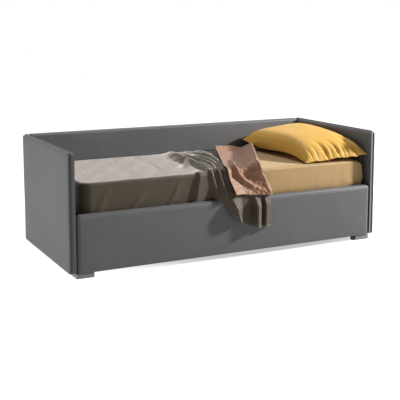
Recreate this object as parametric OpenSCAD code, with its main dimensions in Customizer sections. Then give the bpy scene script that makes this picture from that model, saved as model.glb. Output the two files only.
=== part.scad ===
// Storage sofa bed: an upholstered box with two side panels and a back panel, a
// slatted platform that lifts at the front on arms and gas springs, a mattress
// and its bedding. All sizes are in millimetres.
// X runs along the bed, Y from front (-) to back (+), Z is up. The origin lies on
// the floor, under the middle of the base.

/* [Overall] */
// Length over both side panels
overall_w = 2080; // [2000:10:2180]
// Depth over the side panels
overall_d = 900; // [890:5:930]
// Height of the side panels above the floor
overall_h = 710; // [660:10:780]
// Height of the feet
foot_h = 30; // [22:1:45]
// Height of the front panel itself
front_h = 330; // [324:2:340]

/* [Upholstered panels] */
// Thickness of the wooden core boards
core_t = 22; // [18:1:25]
// Padding outside a side core
side_pad_out = 10; // [8:1:12]
// Padding inside a side core, above the platform
side_pad_in = 8; // [6:1:10]
// Padding on the front and rear edges of a side core
side_edge_pad = 10; // [8:1:14]
// Padding on the top edges of all cores
top_pad = 10; // [8:1:16]
// Padding in front of the front core
front_pad_out = 14; // [10:1:16]
// Padding behind the top of the front core
front_pad_in = 6; // [4:1:7]
// How far the front padding stands proud of the side panels
front_proud = 6; // [3:1:8]
// Padding in front of the back core
back_pad_in = 8; // [6:1:9]
// Padding behind the back core
back_pad_out = 15; // [10:1:18]
// Radius of the soft outer edges
soft_r = 16; // [10:1:18]
// Radius of the sewn inner edges
seam_r = 5; // [3:1:8]
// Radius of the rear bottom corners of the side panels
heel_r = 24; // [12:1:40]
// Cover wrapped under the bottom edges
wrap_t = 2; // [1.5:0.5:3]
// Gap between a long panel and a side panel
end_gap = 1.5; // [0.5:0.5:3]
// Rise of the back panel above the side panels
back_rise = 0; // [0:1:4]

/* [Storage box] */
// Section of the floor battens
batten_s = 20; // [16:1:24]
// Thickness of the floor panels
floor_t = 8; // [6:1:12]
// Gap between the two floor panels, filled by the joiner
joiner_gap = 4; // [3:1:6]
// Width of the crossbeam under the joiner
crossbeam_w = 60; // [50:2:80]
// Length of a foot's legs
foot_leg = 103; // [90:1:110]
// Width of a foot's legs
foot_w = 32; // [26:1:36]
// Distance of the rear feet from the back face
rear_foot_inset = 100; // [80:5:140]
// Diameter of the centre foot
centre_foot_d = 60; // [50:2:58]
// Gap between the corner brackets and the platform's frame
bracket_lip_gap = 45; // [35:5:60]
// Length of a corner bracket's legs
bracket_leg = 50; // [40:2:54]

/* [Lift mechanism] */
// Thickness of the base plates
plate_t = 3; // [2:0.5:4]
// Thickness of the arms
arm_t = 5; // [4:0.5:6]
// Half width of the arms
arm_r = 17; // [14:1:19]
// Radius of the pivots
pivot_r = 5; // [4:0.5:6]
// Rear arm: lower pivot in front of the back panel's board
rear_low_inset = 347; // [341:1:353]
// Rear arm: lower pivot above the base's underside
rear_low_rise = 70; // [66:1:76]
// Rear arm: upper pivot in front of the back panel's board
rear_top_inset = 223; // [217:1:229]
// Front arm: lower pivot in front of the back panel's board
front_low_inset = 571; // [563:1:579]
// Front arm: lower pivot above the base's underside
front_low_rise = 90; // [84:1:96]
// Front arm: upper pivot in front of the back panel's board
front_top_inset = 343; // [337:1:349]
// Gas spring: lower stud in front of the back panel's board
gas_low_inset = 33; // [29:1:39]
// Gas spring: lower stud above the base's underside
gas_low_rise = 75; // [70:1:80]
// Gas spring: distance of its stud from the rear arm's lower pivot
gas_reach = 160; // [150:1:166]
// Outer radius of the gas cylinder
gas_r = 10; // [9:0.5:11]
// Radius of the gas spring's rod
rod_r = 4; // [3:0.5:5]
// Length of the gas cylinder's tube
gas_tube_l = 180; // [170:1:190]

/* [Slatted platform] */
// Section of the steel tubes
tube_s = 30; // [25:1:34]
// Wall of the steel tubes
tube_wall = 2; // [1.5:0.5:3]
// How far the platform's top lies below the front panel's top
platform_sink = 27; // [20:1:32]
// Distance of the front tube behind the front padding
front_tube_gap = 29; // [26:1:34]
// Distance of the rear tube from the back padding
rear_tube_gap = 20; // [18:1:26]
// Number of slats
slat_n = 14; // [12:1:16]
// Width of a slat
slat_w = 68; // [50:2:80]
// Thickness of a slat
slat_t = 8; // [6:1:9]
// Height of a slat holder's floor
holder_floor = 10; // [8:1:12]
// Wall of a slat holder
holder_wall = 3; // [2:0.5:4]

/* [Mattress and bedding] */
// Height of the mattress
mattress_h = 180; // [140:5:200]
// Gap between the mattress and the left side panel
mattress_gap_left = 55; // [50:1:60]
// Gap between the mattress and the right side panel
mattress_gap_right = 35; // [30:1:40]
// Gap between the mattress and the front padding
mattress_gap_front = 12; // [11:0.5:14]
// Gap between the mattress and the back panel
mattress_gap_back = 13; // [12:0.5:16]
// Crown of the mattress
mattress_crown = 5; // [2:1:10]
// How far the mattress sides draw in
mattress_draw = 4; // [0:1:8]
// Thickness of the fitted sheet
sheet_t = 1.5; // [1:0.5:2]
// Thickness of the coverlet as it lies
coverlet_t = 3; // [2:0.5:4]
// Length of the pillow across the bed
pillow_l = 770; // [720:5:800]
// Thickness of the pillow above its seam
pillow_loft = 118; // [90:2:130]

/* [Hidden] */

// Roundness of curves
$fn = 48;
// How far cuts run past a face
over = 1;
// Gap between a shaft and its hole
shaft_gap = 0.05;
// Gap between pieces that nearly touch
near_gap = 0.3;

// Colours
leatherette = "#5d5f61";
board_colour = "#c9a877";
steel_colour = "#8d9094";
dark_steel = "#3c3e41";
slat_colour = "#dcc293";
ochre = "#d8bb7c";
taupe = "#7c7066";
pink = "#c9a995";
gold = "#e6bd62";

// Places of the panels
half_w = overall_w / 2;
half_d = overall_d / 2;
side_t = side_pad_out + core_t + side_pad_in;
inner_x = half_w - side_t;
core_x = inner_x + side_pad_in;
base_z = foot_h;
front_top = base_z + front_h;
front_face_y = -half_d - front_proud;
front_core_y = front_face_y + front_pad_out;
front_bare_y = front_core_y + core_t;
front_lip_y = front_bare_y + front_pad_in;
back_core_y = half_d - back_pad_out;
back_bare_y = back_core_y - core_t;
back_lip_y = back_bare_y - back_pad_in;
panel_end_x = inner_x - end_gap;
back_top = overall_h + back_rise;

// Places of the platform and the mattress
bed_z = front_top - platform_sink;
holder_h = holder_floor + slat_t;
tube_top = bed_z - holder_h;
tube_z = tube_top - tube_s;
lip_z = tube_z;
pivot_z = tube_z + tube_s / 2;
front_tube_y = front_lip_y + front_tube_gap;
rear_tube_y = back_lip_y - rear_tube_gap;

// Places of the mechanism across the bed: from the side core inwards lie the
// base plate, the arms, the gas spring and the platform's bracket
arm_panel_gap = 2;
arm_outer = inner_x - arm_panel_gap;
arm_inner = arm_outer - arm_t;
gas_arm_gap = 8;
gas_x = arm_inner - gas_arm_gap - gas_r;
gas_platform_gap = 10;
bracket_t = 4;
bracket_outer = gas_x - gas_r - gas_platform_gap;
tube_end_x = bracket_outer - bracket_t;
head_t = 5;
head_r = 9;

// Pivots in the YZ plane, as [y, z] at rest
rear_low = [back_bare_y - rear_low_inset, base_z + rear_low_rise];
rear_top = [back_bare_y - rear_top_inset, pivot_z];
front_low = [back_bare_y - front_low_inset, base_z + front_low_rise];
front_arm_top = [back_bare_y - front_top_inset, pivot_z];
gas_low = [back_bare_y - gas_low_inset, base_z + gas_low_rise];
rear_arm_l = norm(rear_top - rear_low);
gas_top = rear_low + (rear_top - rear_low) * gas_reach / rear_arm_l;
gas_l = norm(gas_top - gas_low);
gas_angle = atan2(gas_top[1] - gas_low[1], gas_top[0] - gas_low[0]);

// Storage floor
floor_z = base_z + batten_s;

// Base plates
plate_margin = 26;
plate_rear_margin = 16;
plate_floor_gap = 4;
plate_rise = 40;
plate_r = 10;
plate_y0 = front_low[0] - plate_margin;
plate_y1 = gas_low[0] + plate_rear_margin;
plate_z0 = floor_z + floor_t + plate_floor_gap;
plate_z1 = max(front_low[1], gas_low[1]) + plate_rise;

// The corner brackets stand between the base plates' top and the platform's frame
bracket_z = plate_z1;
bracket_h = lip_z - bracket_lip_gap - bracket_z;

// Mattress
mattress_x0 = -inner_x + mattress_gap_left;
mattress_x1 = inner_x - mattress_gap_right;
mattress_y0 = front_lip_y + mattress_gap_front;
mattress_y1 = back_lip_y - mattress_gap_back;
mattress_z0 = bed_z + near_gap;
mattress_r = 55;
mattress_edge_r = 26;
bedding_gap = 0.4;
sheet_top = mattress_z0 + mattress_h + sheet_t + bedding_gap;

// Outlines

// A rectangle with four corner radii, from the lower left round to the upper left
module rounded_rect(w, h, radii) {
  polygon([
    [radii[0], 0], [w - radii[1], 0], [w, radii[1]], [w, h - radii[2]],
    [w - radii[2], h], [radii[3], h], [0, h - radii[3]], [0, radii[0]]
  ]);
  translate([radii[0], radii[0]]) circle(radii[0]);
  translate([w - radii[1], radii[1]]) circle(radii[1]);
  translate([w - radii[2], h - radii[2]]) circle(radii[2]);
  translate([radii[3], h - radii[3]]) circle(radii[3]);
}

// Stands a YZ outline up and extrudes it along X, from x on
module along_x(x, length) {
  translate([x, 0, 0]) rotate([90, 0, 90]) linear_extrude(length) children();
}

// Stands an XZ outline up and extrudes it towards the back, from y on
module along_y(y, length) {
  translate([0, y + length, 0]) rotate([90, 0, 0]) linear_extrude(length) children();
}

// A block between two corners
module block(low, high) {
  translate(low) cube(high - low);
}

// A round bar along X through a [y, z] point
module bar_x(x, length, place, r) {
  translate([x, place[0], place[1]]) rotate([0, 90, 0]) cylinder(r = r, h = length);
}

// A bar's outline with round ends between two [y, z] points
module link_outline(a, b, r) {
  angle = atan2(b[1] - a[1], b[0] - a[0]);
  half_turn = [0:$fn / 2];
  polygon(concat(
    [for (k = half_turn) arc_point(b[0], b[1], r, angle - 90 + 360 * k / $fn)],
    [for (k = half_turn) arc_point(a[0], a[1], r, angle + 90 + 360 * k / $fn)]
  ));
}

// Draws the right end's piece, or its mirror image at the left end
module at_end(left) {
  if (left) mirror([1, 0, 0]) children();
  else children();
}

module both_ends() {
  at_end(false) children();
  at_end(true) children();
}

// Closed solids from rings of points, for soft pieces

// A ring round a rectangle with round corners: low and high corners in plan,
// height z, inset from the rectangle, corner radius r, sides drawn in by draw
corner_steps = 4;
side_shares = [0.2, 0.5, 0.8];
function arc_point(cx, cy, r, a) = [cx + r * cos(a), cy + r * sin(a)];
function side_point(p, q, t, draw) =
  let (along = (q - p) / norm(q - p), inward = [-along[1], along[0]])
  p + (q - p) * t + inward * draw * 4 * t * (1 - t);
function plan_ring(low, high, r, draw) =
  let (
    x0 = low[0], y0 = low[1], x1 = high[0], y1 = high[1],
    centres = [[x1 - r, y1 - r], [x0 + r, y1 - r], [x0 + r, y0 + r], [x1 - r, y0 + r]]
  )
  [for (c = [0:3])
    let (
      centre = centres[c], next = centres[(c + 1) % 4],
      p = arc_point(centre[0], centre[1], r, 90 * (c + 1)),
      q = arc_point(next[0], next[1], r, 90 * (c + 1))
    )
    each concat(
      [for (k = [0:corner_steps]) arc_point(centre[0], centre[1], r, 90 * (c + k / corner_steps))],
      [for (t = side_shares) side_point(p, q, t, draw)]
    )
  ];
function block_ring(low, high, z, inset, r, draw) =
  [for (p = plan_ring(low + [inset, inset], high - [inset, inset], max(r - inset, r / 4), draw))
    [p[0], p[1], z]];

// Rings up a mattress that is grown by grow all round. The shares give each
// ring's place round the edge's quarter circles
edge_angles = [0, 30, 60, 90];
crown_insets = [0.12, 0.3];
function mattress_rings(grow) =
  let (
    low = [mattress_x0 - grow, mattress_y0 - grow], high = [mattress_x1 + grow, mattress_y1 + grow],
    r = mattress_r + grow, e = mattress_edge_r + grow,
    z0 = mattress_z0, z1 = mattress_z0 + mattress_h + grow,
    reach = mattress_y1 - mattress_y0
  )
  concat(
    [for (a = edge_angles) block_ring(low, high, z0 + e * (1 - cos(a)), e * (1 - sin(a)), r, 0)],
    [block_ring(low, high, (z0 + z1) / 2, 0, r, mattress_draw)],
    [for (a = edge_angles) block_ring(low, high, z1 - e * (1 - sin(a)), e * (1 - cos(a)), r, 0)],
    [for (s = crown_insets) block_ring(low, high, z1 + mattress_crown * s / crown_insets[1],
      e + reach * s, r, 0)]
  );

function ring_walls(ring_count, n, first) =
  [for (k = [0:ring_count - 2], i = [0:n - 1])
    let (a = first + k * n + i, b = first + k * n + (i + 1) % n)
    each [[a, a + n, b + n], [a, b + n, b]]];

// A solid up through rings, closed by a fan at each end
module ring_solid(rings) {
  n = len(rings[0]);
  m = len(rings);
  low_end = m * n;
  centre = function(ring) [for (axis = [0:2]) let (v = [for (p = ring) p[axis]]) v * [for (p = ring) 1] / n];
  polyhedron(
    points = concat([for (ring = rings) each ring], [centre(rings[0]), centre(rings[m - 1])]),
    faces = concat(
      ring_walls(m, n, 0),
      [for (i = [0:n - 1]) [i, (i + 1) % n, low_end]],
      [for (i = [0:n - 1]) [(m - 1) * n + i, low_end + 1, (m - 1) * n + (i + 1) % n]]
    )
  );
}

// A cover that is open below: outer rings and inner rings, both from the rim up
module ring_shell(outer, inner) {
  n = len(outer[0]);
  m = len(outer);
  first = m * n;
  apex = 2 * m * n;
  centre = function(ring) [for (axis = [0:2]) let (v = [for (p = ring) p[axis]]) v * [for (p = ring) 1] / n];
  polyhedron(
    points = concat([for (ring = outer) each ring], [for (ring = inner) each ring],
      [centre(outer[m - 1]), centre(inner[m - 1])]),
    faces = concat(
      ring_walls(m, n, 0),
      [for (i = [0:n - 1]) [(m - 1) * n + i, apex, (m - 1) * n + (i + 1) % n]],
      [for (f = ring_walls(m, n, first)) [f[0], f[2], f[1]]],
      [for (i = [0:n - 1]) [first + (m - 1) * n + i, first + (m - 1) * n + (i + 1) % n, apex + 1]],
      [for (i = [0:n - 1]) let (j = (i + 1) % n) each [[i, j, first + j], [i, first + j, first + i]]]
    )
  );
}

// A closed sheet between two grids of points, indexed along X and then along Y
module grid_solid(top, bottom) {
  nx = len(top);
  ny = len(top[0]);
  below = nx * ny;
  at = function(i, j) i * ny + j;
  polyhedron(
    points = concat([for (row = top) each row], [for (row = bottom) each row]),
    faces = concat(
      [for (i = [0:nx - 2], j = [0:ny - 2])
        let (a = at(i, j), b = at(i + 1, j), c = at(i + 1, j + 1), d = at(i, j + 1))
        each [[a, d, c], [a, c, b], [below + a, below + c, below + d], [below + a, below + b, below + c]]],
      [for (i = [0:nx - 2]) let (a = at(i, 0), b = at(i + 1, 0))
        each [[a, b, below + b], [a, below + b, below + a]]],
      [for (i = [0:nx - 2]) let (a = at(i, ny - 1), b = at(i + 1, ny - 1))
        each [[a, below + b, b], [a, below + a, below + b]]],
      [for (j = [0:ny - 2]) let (a = at(0, j + 1), b = at(0, j))
        each [[a, b, below + b], [a, below + b, below + a]]],
      [for (j = [0:ny - 2]) let (a = at(nx - 1, j), b = at(nx - 1, j + 1))
        each [[a, b, below + b], [a, below + b, below + a]]]
    )
  );
}

// Smooth step from 0 to 1 while v runs from a to b
function ease(v, a, b) = let (t = min(1, max(0, (v - a) / (b - a)))) t * t * (3 - 2 * t);
function blend(a, b, t) = a + (b - a) * t;

// Side panels

module side_core() {
  block([core_x, -half_d + side_edge_pad, base_z + wrap_t],
    [core_x + core_t, half_d - side_edge_pad, overall_h - top_pad]);
}

screw_r = 2.5;
screw_l = 16;

module side_cover_shape() {
  rise = overall_h - base_z;
  intersection() {
    along_x(inner_x, side_t) translate([-half_d, base_z])
      rounded_rect(overall_d, rise, [soft_r, heel_r, soft_r, soft_r]);
    along_y(-half_d, overall_d) translate([inner_x, base_z])
      rounded_rect(side_t, rise, [wrap_t, seam_r, soft_r, seam_r]);
    translate([inner_x, -half_d, base_z]) linear_extrude(rise)
      rounded_rect(side_t, overall_d, [seam_r, soft_r, soft_r, seam_r]);
  }
}

module side_cover() {
  difference() {
    side_cover_shape();
    side_core();
    // Inside the box the core board stays bare
    block([inner_x - over, front_bare_y, base_z - over], [core_x + over, back_bare_y, lip_z]);
  }
}

module side_board() {
  difference() {
    side_core();
    base_plate_screw_places() translate([0, 0, -over])
      cylinder(r = screw_r + shaft_gap, h = screw_l + over);
    corner_places() side_bracket_screws() translate([0, 0, -over])
      cylinder(r = screw_r + shaft_gap, h = screw_l + over);
  }
}

module left_core_board() { color(board_colour) at_end(true) side_board(); }
module right_core_board() { color(board_colour) side_board(); }
module left_cover() { color(leatherette) at_end(true) side_cover(); }
module right_cover() { color(leatherette) side_cover(); }

// Back panel

module back_core() {
  block([-panel_end_x + side_pad_in, back_bare_y, base_z + wrap_t],
    [panel_end_x - side_pad_in, back_core_y, back_top - top_pad]);
}

module back_core_board() {
  color(board_colour) difference() {
    back_core();
    both_ends() rear_corner() long_bracket_screws() translate([0, 0, -over])
      cylinder(r = screw_r + shaft_gap, h = screw_l + over);
  }
}

module back_cover() {
  rise = back_top - base_z;
  depth = half_d - back_lip_y;
  color(leatherette) difference() {
    intersection() {
      along_x(-panel_end_x, 2 * panel_end_x) translate([back_lip_y, base_z])
        rounded_rect(depth, rise, [wrap_t, soft_r, soft_r, soft_r]);
      along_y(back_lip_y, depth) translate([-panel_end_x, base_z])
        rounded_rect(2 * panel_end_x, rise, [seam_r, seam_r, soft_r, soft_r]);
    }
    back_core();
    block([-panel_end_x - over, back_lip_y - over, base_z - over],
      [panel_end_x + over, back_bare_y, lip_z]);
  }
}

// Front panel

module front_core() {
  block([-panel_end_x + side_pad_in, front_core_y, base_z + wrap_t],
    [panel_end_x - side_pad_in, front_bare_y, front_top - top_pad]);
}

module front_core_board() {
  color(board_colour) difference() {
    front_core();
    both_ends() front_corner() long_bracket_screws() translate([0, 0, -over])
      cylinder(r = screw_r + shaft_gap, h = screw_l + over);
  }
}

// How far the front cover turns down behind its core
front_turn_in = 45;

module front_cover() {
  depth = front_lip_y - front_face_y;
  color(leatherette) difference() {
    intersection() {
      along_x(-panel_end_x, 2 * panel_end_x) translate([front_face_y, base_z])
        rounded_rect(depth, front_h, [seam_r, wrap_t, seam_r, soft_r]);
      along_y(front_face_y, depth) translate([-panel_end_x, base_z])
        rounded_rect(2 * panel_end_x, front_h, [seam_r, seam_r, soft_r, soft_r]);
      translate([-panel_end_x, front_face_y, base_z]) linear_extrude(front_h)
        rounded_rect(2 * panel_end_x, depth, [soft_r, soft_r, seam_r, seam_r]);
    }
    front_core();
    block([-panel_end_x - over, front_bare_y, base_z - over],
      [panel_end_x + over, front_lip_y + over, front_top - front_turn_in]);
  }
}

// Corner brackets: bent steel angles that join the panels inside the box

bracket_steel = 3;
screw_rows = [0.25, 0.75];
screw_inset = 14;

// Each place has its origin in the corner of the box at the right end, with the
// bracket's legs along -X and -Y for the rear corner, and -X and +Y in front
module rear_corner() { translate([core_x, back_bare_y, bracket_z]) children(); }
module front_corner() { translate([core_x, front_bare_y, bracket_z]) mirror([0, 1, 0]) children(); }

module corner_places() {
  rear_corner() children();
  front_corner() children();
}

module bracket_shape() {
  legs = [
    [0, 0], [0, -bracket_leg], [-bracket_steel, -bracket_leg], [-bracket_steel, -bracket_steel],
    [-bracket_leg, -bracket_steel], [-bracket_leg, 0]
  ];
  difference() {
    linear_extrude(bracket_h) polygon(legs);
    side_bracket_screws() translate([0, 0, -bracket_steel - over])
      cylinder(r = screw_r + shaft_gap, h = bracket_steel + 2 * over);
    long_bracket_screws() translate([0, 0, -bracket_steel - over])
      cylinder(r = screw_r + shaft_gap, h = bracket_steel + 2 * over);
  }
}

// Screw axes point into the board, from its face
module side_bracket_screws() {
  for (row = screw_rows)
    translate([0, -bracket_leg + screw_inset, bracket_h * row]) rotate([0, 90, 0]) children();
}
module long_bracket_screws() {
  for (row = screw_rows)
    translate([-bracket_leg + screw_inset, 0, bracket_h * row]) rotate([-90, 0, 0]) children();
}

module corner_brackets() { color(dark_steel) both_ends() corner_places() bracket_shape(); }

screw_head_r = 4.5;
screw_head_t = 2.5;

// A pan head screw with its head under the surface that it clamps, clamp thick
module pan_screw(clamp) {
  translate([0, 0, -clamp]) cylinder(r = screw_r, h = clamp + screw_l - over);
  translate([0, 0, -clamp - screw_head_t]) cylinder(r = screw_head_r, h = screw_head_t);
}

module bracket_screws() {
  color(steel_colour) both_ends() corner_places() {
    side_bracket_screws() pan_screw(bracket_steel);
    long_bracket_screws() pan_screw(bracket_steel);
  }
}

// Storage floor: battens round the inside, a crossbeam and two panels

module front_floor_batten() {
  color(board_colour) block([-core_x + batten_s, front_bare_y, base_z],
    [core_x - batten_s, front_bare_y + batten_s, floor_z]);
}

module rear_floor_batten() {
  color(board_colour) block([-core_x + batten_s, back_bare_y - batten_s, base_z],
    [core_x - batten_s, back_bare_y, floor_z]);
}

module end_floor_battens() {
  color(board_colour) both_ends()
    block([core_x - batten_s, front_bare_y, base_z], [core_x, back_bare_y, floor_z]);
}

// Corner blocks over the feet, screwed to the end battens
block_x0 = inner_x - foot_leg;
block_w = foot_leg - batten_s;
rear_foot_y = half_d - rear_foot_inset;
foot_places_y = [front_bare_y + batten_s, rear_foot_y - block_w];
foot_screw_inset = 7;

module foot_blocks() {
  color(board_colour) both_ends() for (y = foot_places_y) difference() {
    block([block_x0, y, base_z], [core_x - batten_s, y + block_w, floor_z]);
    foot_screw_places(y) translate([0, 0, -over])
      cylinder(r = screw_r + shaft_gap, h = screw_l + over);
  }
}

module crossbeam() {
  color(board_colour) block([-crossbeam_w / 2, front_bare_y + batten_s, base_z],
    [crossbeam_w / 2, back_bare_y - batten_s, floor_z]);
}

module floor_panel(left) {
  at_end(left) block([joiner_gap / 2, front_bare_y + floor_fit, floor_z],
    [core_x - floor_fit, back_bare_y - floor_fit, floor_z + floor_t]);
}
floor_fit = 1;

module floor_panel_left() { color("#b9a07c") floor_panel(true); }
module floor_panel_right() { color("#b9a07c") floor_panel(false); }

// A plastic strip that covers the gap between the floor panels
joiner_w = 30;
joiner_cap = 1.5;
module floor_joiner() {
  color("#d8d6d0") union() {
    block([-joiner_w / 2, front_bare_y + floor_fit, floor_z + floor_t],
      [joiner_w / 2, back_bare_y - floor_fit, floor_z + floor_t + joiner_cap]);
    block([-joiner_gap / 2, front_bare_y + floor_fit, floor_z],
      [joiner_gap / 2, back_bare_y - floor_fit, floor_z + floor_t + over]);
  }
}

// Feet: metal angles under the corners, and a round foot in the middle

foot_lead = 6;
foot_front_y = front_core_y - foot_lead;
foot_screw_gap = 1;

// Legs along X and along Y, meeting at the outer corner at the origin
module foot_outline() {
  polygon([
    [0, 0], [-foot_leg, 0], [-foot_leg, foot_w], [-foot_w, foot_w], [-foot_w, foot_leg], [0, foot_leg]
  ]);
}

module front_foot_shape() {
  difference() {
    translate([inner_x, foot_front_y, 0]) linear_extrude(foot_h) foot_outline();
    foot_screw_holes(foot_places_y[0]);
  }
}

module rear_foot_shape() {
  difference() {
    translate([inner_x, rear_foot_y, 0]) mirror([0, 1, 0]) linear_extrude(foot_h) foot_outline();
    foot_screw_holes(foot_places_y[1]);
  }
}

// Screws rise through a foot's Y leg into the block above it
module foot_screw_places(y) {
  for (share = [0.15, 0.5])
    translate([core_x - batten_s - foot_screw_inset, y + block_w * share, base_z]) children();
}
module foot_screw_holes(y) {
  foot_screw_places(y) translate([0, 0, -foot_h - over])
    cylinder(r = screw_r + shaft_gap, h = foot_h + 2 * over);
}

module foot_front_left() { color(steel_colour) at_end(true) front_foot_shape(); }
module foot_front_right() { color(steel_colour) front_foot_shape(); }
module foot_rear_left() { color(steel_colour) at_end(true) rear_foot_shape(); }
module foot_rear_right() { color(steel_colour) rear_foot_shape(); }

module centre_foot() {
  color(dark_steel) cylinder(r = centre_foot_d / 2, h = foot_h);
}

module foot_screws() {
  color(steel_colour) both_ends() for (y = foot_places_y) foot_screw_places(y)
    translate([0, 0, foot_screw_gap - foot_h])
      cylinder(r = screw_r, h = foot_h - foot_screw_gap + screw_l - over);
}

// Front rest: a batten on the front core with rubber buffers under the front tube

rest_w = front_tube_y + tube_s / 2 - front_bare_y;
rest_h = 28;
buffer_h = 5;
buffer_r = 9;
rest_z = tube_z - buffer_h - near_gap;
buffer_shares = [-0.9, -0.3, 0.3, 0.9];
mech_room = 30;
rest_half = bracket_outer - mech_room;

module front_rest_batten() {
  color(board_colour) block([-rest_half, front_bare_y, rest_z - rest_h],
    [rest_half, front_bare_y + rest_w, rest_z]);
}

module rest_buffers() {
  color("#222222") for (share = buffer_shares)
    translate([rest_half * share, front_tube_y + buffer_r / 2, rest_z])
      cylinder(r = min(buffer_r, rest_w / 4), h = buffer_h);
}

// Base plates: steel plates on the side cores that carry the lower pivots

module base_plate_screw_places() {
  for (share = [0.1, 0.42, 0.66, 0.93])
    for (z = [plate_z0 + screw_inset, plate_z1 - screw_inset])
      translate([core_x, blend(plate_y0, plate_y1, share), z]) rotate([0, 90, 0]) children();
}

module base_plate() {
  difference() {
    along_x(core_x - plate_t, plate_t) translate([plate_y0, plate_z0])
      rounded_rect(plate_y1 - plate_y0, plate_z1 - plate_z0, [plate_r, plate_r, plate_r, plate_r]);
    for (place = [rear_low, front_low, gas_low])
      bar_x(core_x - plate_t - over, plate_t + 2 * over, place, pivot_r + shaft_gap);
    base_plate_screw_places() translate([0, 0, -plate_t - over])
      cylinder(r = screw_r + shaft_gap, h = plate_t + 2 * over);
  }
}

module base_plate_left() { color(dark_steel) at_end(true) base_plate(); }
module base_plate_right() { color(dark_steel) base_plate(); }

module base_plate_screws() {
  color(steel_colour) both_ends() base_plate_screw_places() pan_screw(plate_t);
}

// Pivot bolts of both arms: a spacer, a shoulder through the arm and a flat head
module lower_pivot(place) {
  bar_x(arm_inner - shaft_gap, core_x - arm_inner, place, pivot_r);
  bar_x(arm_outer + near_gap / 2, core_x - plate_t - arm_outer - near_gap / 2, place, head_r);
  bar_x(arm_inner - near_gap - head_t, head_t, place, head_r);
  bar_x(arm_inner - near_gap - over, over + near_gap, place, pivot_r);
}

module lower_pivots() {
  color(steel_colour) both_ends() for (place = [rear_low, front_low]) lower_pivot(place);
}

module gas_lower_studs() {
  color(steel_colour) both_ends() {
    bar_x(gas_x - gas_r, core_x - gas_x + gas_r, gas_low, rod_r);
    bar_x(gas_x + gas_r + near_gap, core_x - plate_t - gas_x - gas_r - near_gap, gas_low, head_r);
  }
}

// Rubber stops on the base plates, behind the rear arms
stop_r = 6;
stop_post_r = 3.5;
stop_plate_gap = 8;
stop_offset = arm_r + stop_r + near_gap;
rear_arm_dir = (rear_top - rear_low) / rear_arm_l;
stop_z = plate_z1 + stop_plate_gap + stop_post_r;
stop_along = (stop_z + rear_arm_dir[0] * stop_offset - rear_low[1]) / rear_arm_dir[1];
stop_place = rear_low + rear_arm_dir * stop_along + [rear_arm_dir[1], -rear_arm_dir[0]] * stop_offset;

module arm_stops() {
  color("#222222") both_ends() {
    bar_x(arm_inner, arm_t, stop_place, stop_r);
    bar_x(arm_outer, core_x - arm_outer, stop_place, stop_post_r);
  }
}

// Arms

module arm(a, b) {
  difference() {
    along_x(arm_inner, arm_t) link_outline(a, b, arm_r);
    bar_x(arm_inner - over, arm_t + 2 * over, a, pivot_r + shaft_gap);
    bar_x(arm_inner - over, arm_t + 2 * over, b, pivot_r + shaft_gap);
  }
}

module rear_arm_left() { color(dark_steel) at_end(true) arm(rear_low, rear_top); }
module rear_arm_right() { color(dark_steel) arm(rear_low, rear_top); }

// The front arm's upper pivot is the linkage's open one: its stud is riveted to
// the arm and ends just short of the platform's bracket
module front_arm_shape() {
  union() {
    difference() {
      along_x(arm_inner, arm_t) link_outline(front_low, front_arm_top, arm_r);
      bar_x(arm_inner - over, arm_t + 2 * over, front_low, pivot_r + shaft_gap);
    }
    bar_x(bracket_outer + near_gap, arm_inner - bracket_outer - near_gap, front_arm_top, head_r);
  }
}

module front_arm_left() { color(dark_steel) at_end(true) front_arm_shape(); }
module front_arm_right() { color(dark_steel) front_arm_shape(); }

// Gas springs, drawn along +Y from the lower stud and then turned to their place

gas_eye_r = 9;
gas_wall = 1.5;
gas_neck = 16;
piston_t = 8;
piston_rest = 34;
piston_gap = 0.1;
gas_gland_t = 10;

module gas_place() {
  translate([gas_x, gas_low[0], gas_low[1]]) rotate([gas_angle, 0, 0]) rotate([-90, 0, 0]) children();
}

module gas_cylinder() {
  gas_place() difference() {
    union() {
      translate([0, 0, gas_neck]) cylinder(r = gas_r, h = gas_tube_l);
      cylinder(r = gas_eye_r - gas_wall, h = gas_neck + over);
      translate([-gas_eye_r, 0, 0]) rotate([0, 90, 0]) cylinder(r = gas_eye_r, h = 2 * gas_eye_r);
    }
    translate([-gas_eye_r - over, 0, 0]) rotate([0, 90, 0])
      cylinder(r = rod_r + shaft_gap, h = 2 * (gas_eye_r + over));
    translate([0, 0, gas_neck + 2 * gas_wall])
      cylinder(r = gas_r - gas_wall, h = gas_tube_l - 2 * gas_wall - gas_gland_t);
    translate([0, 0, gas_neck + gas_tube_l - gas_gland_t - over])
      cylinder(r = rod_r + shaft_gap, h = gas_gland_t + 2 * over);
  }
}

module gas_cylinder_left() { color("#26282a") at_end(true) gas_cylinder(); }
module gas_cylinder_right() { color("#26282a") gas_cylinder(); }

// The gas spring's upper pivot is open too: its stud ends short of the rear arm
module gas_rod() {
  gas_place() {
    translate([0, 0, piston_rest]) cylinder(r = gas_r - gas_wall - piston_gap, h = piston_t);
    translate([0, 0, piston_rest]) cylinder(r = rod_r, h = gas_l - piston_rest);
    translate([-gas_eye_r, 0, gas_l]) rotate([0, 90, 0]) cylinder(r = gas_eye_r, h = 2 * gas_eye_r);
    translate([0, 0, gas_l]) rotate([0, 90, 0])
      cylinder(r = pivot_r, h = arm_inner - near_gap - gas_x);
  }
}

module gas_rod_left() { color("#b9bcc0") at_end(true) gas_rod(); }
module gas_rod_right() { color("#b9bcc0") gas_rod(); }

// Platform: a frame of steel tubes with slats

module tube_along_x(y, x0, x1) {
  difference() {
    block([x0, y, tube_z], [x1, y + tube_s, tube_top]);
    block([x0 - over, y + tube_wall, tube_z + tube_wall],
      [x1 + over, y + tube_s - tube_wall, tube_top - tube_wall]);
  }
}

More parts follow.
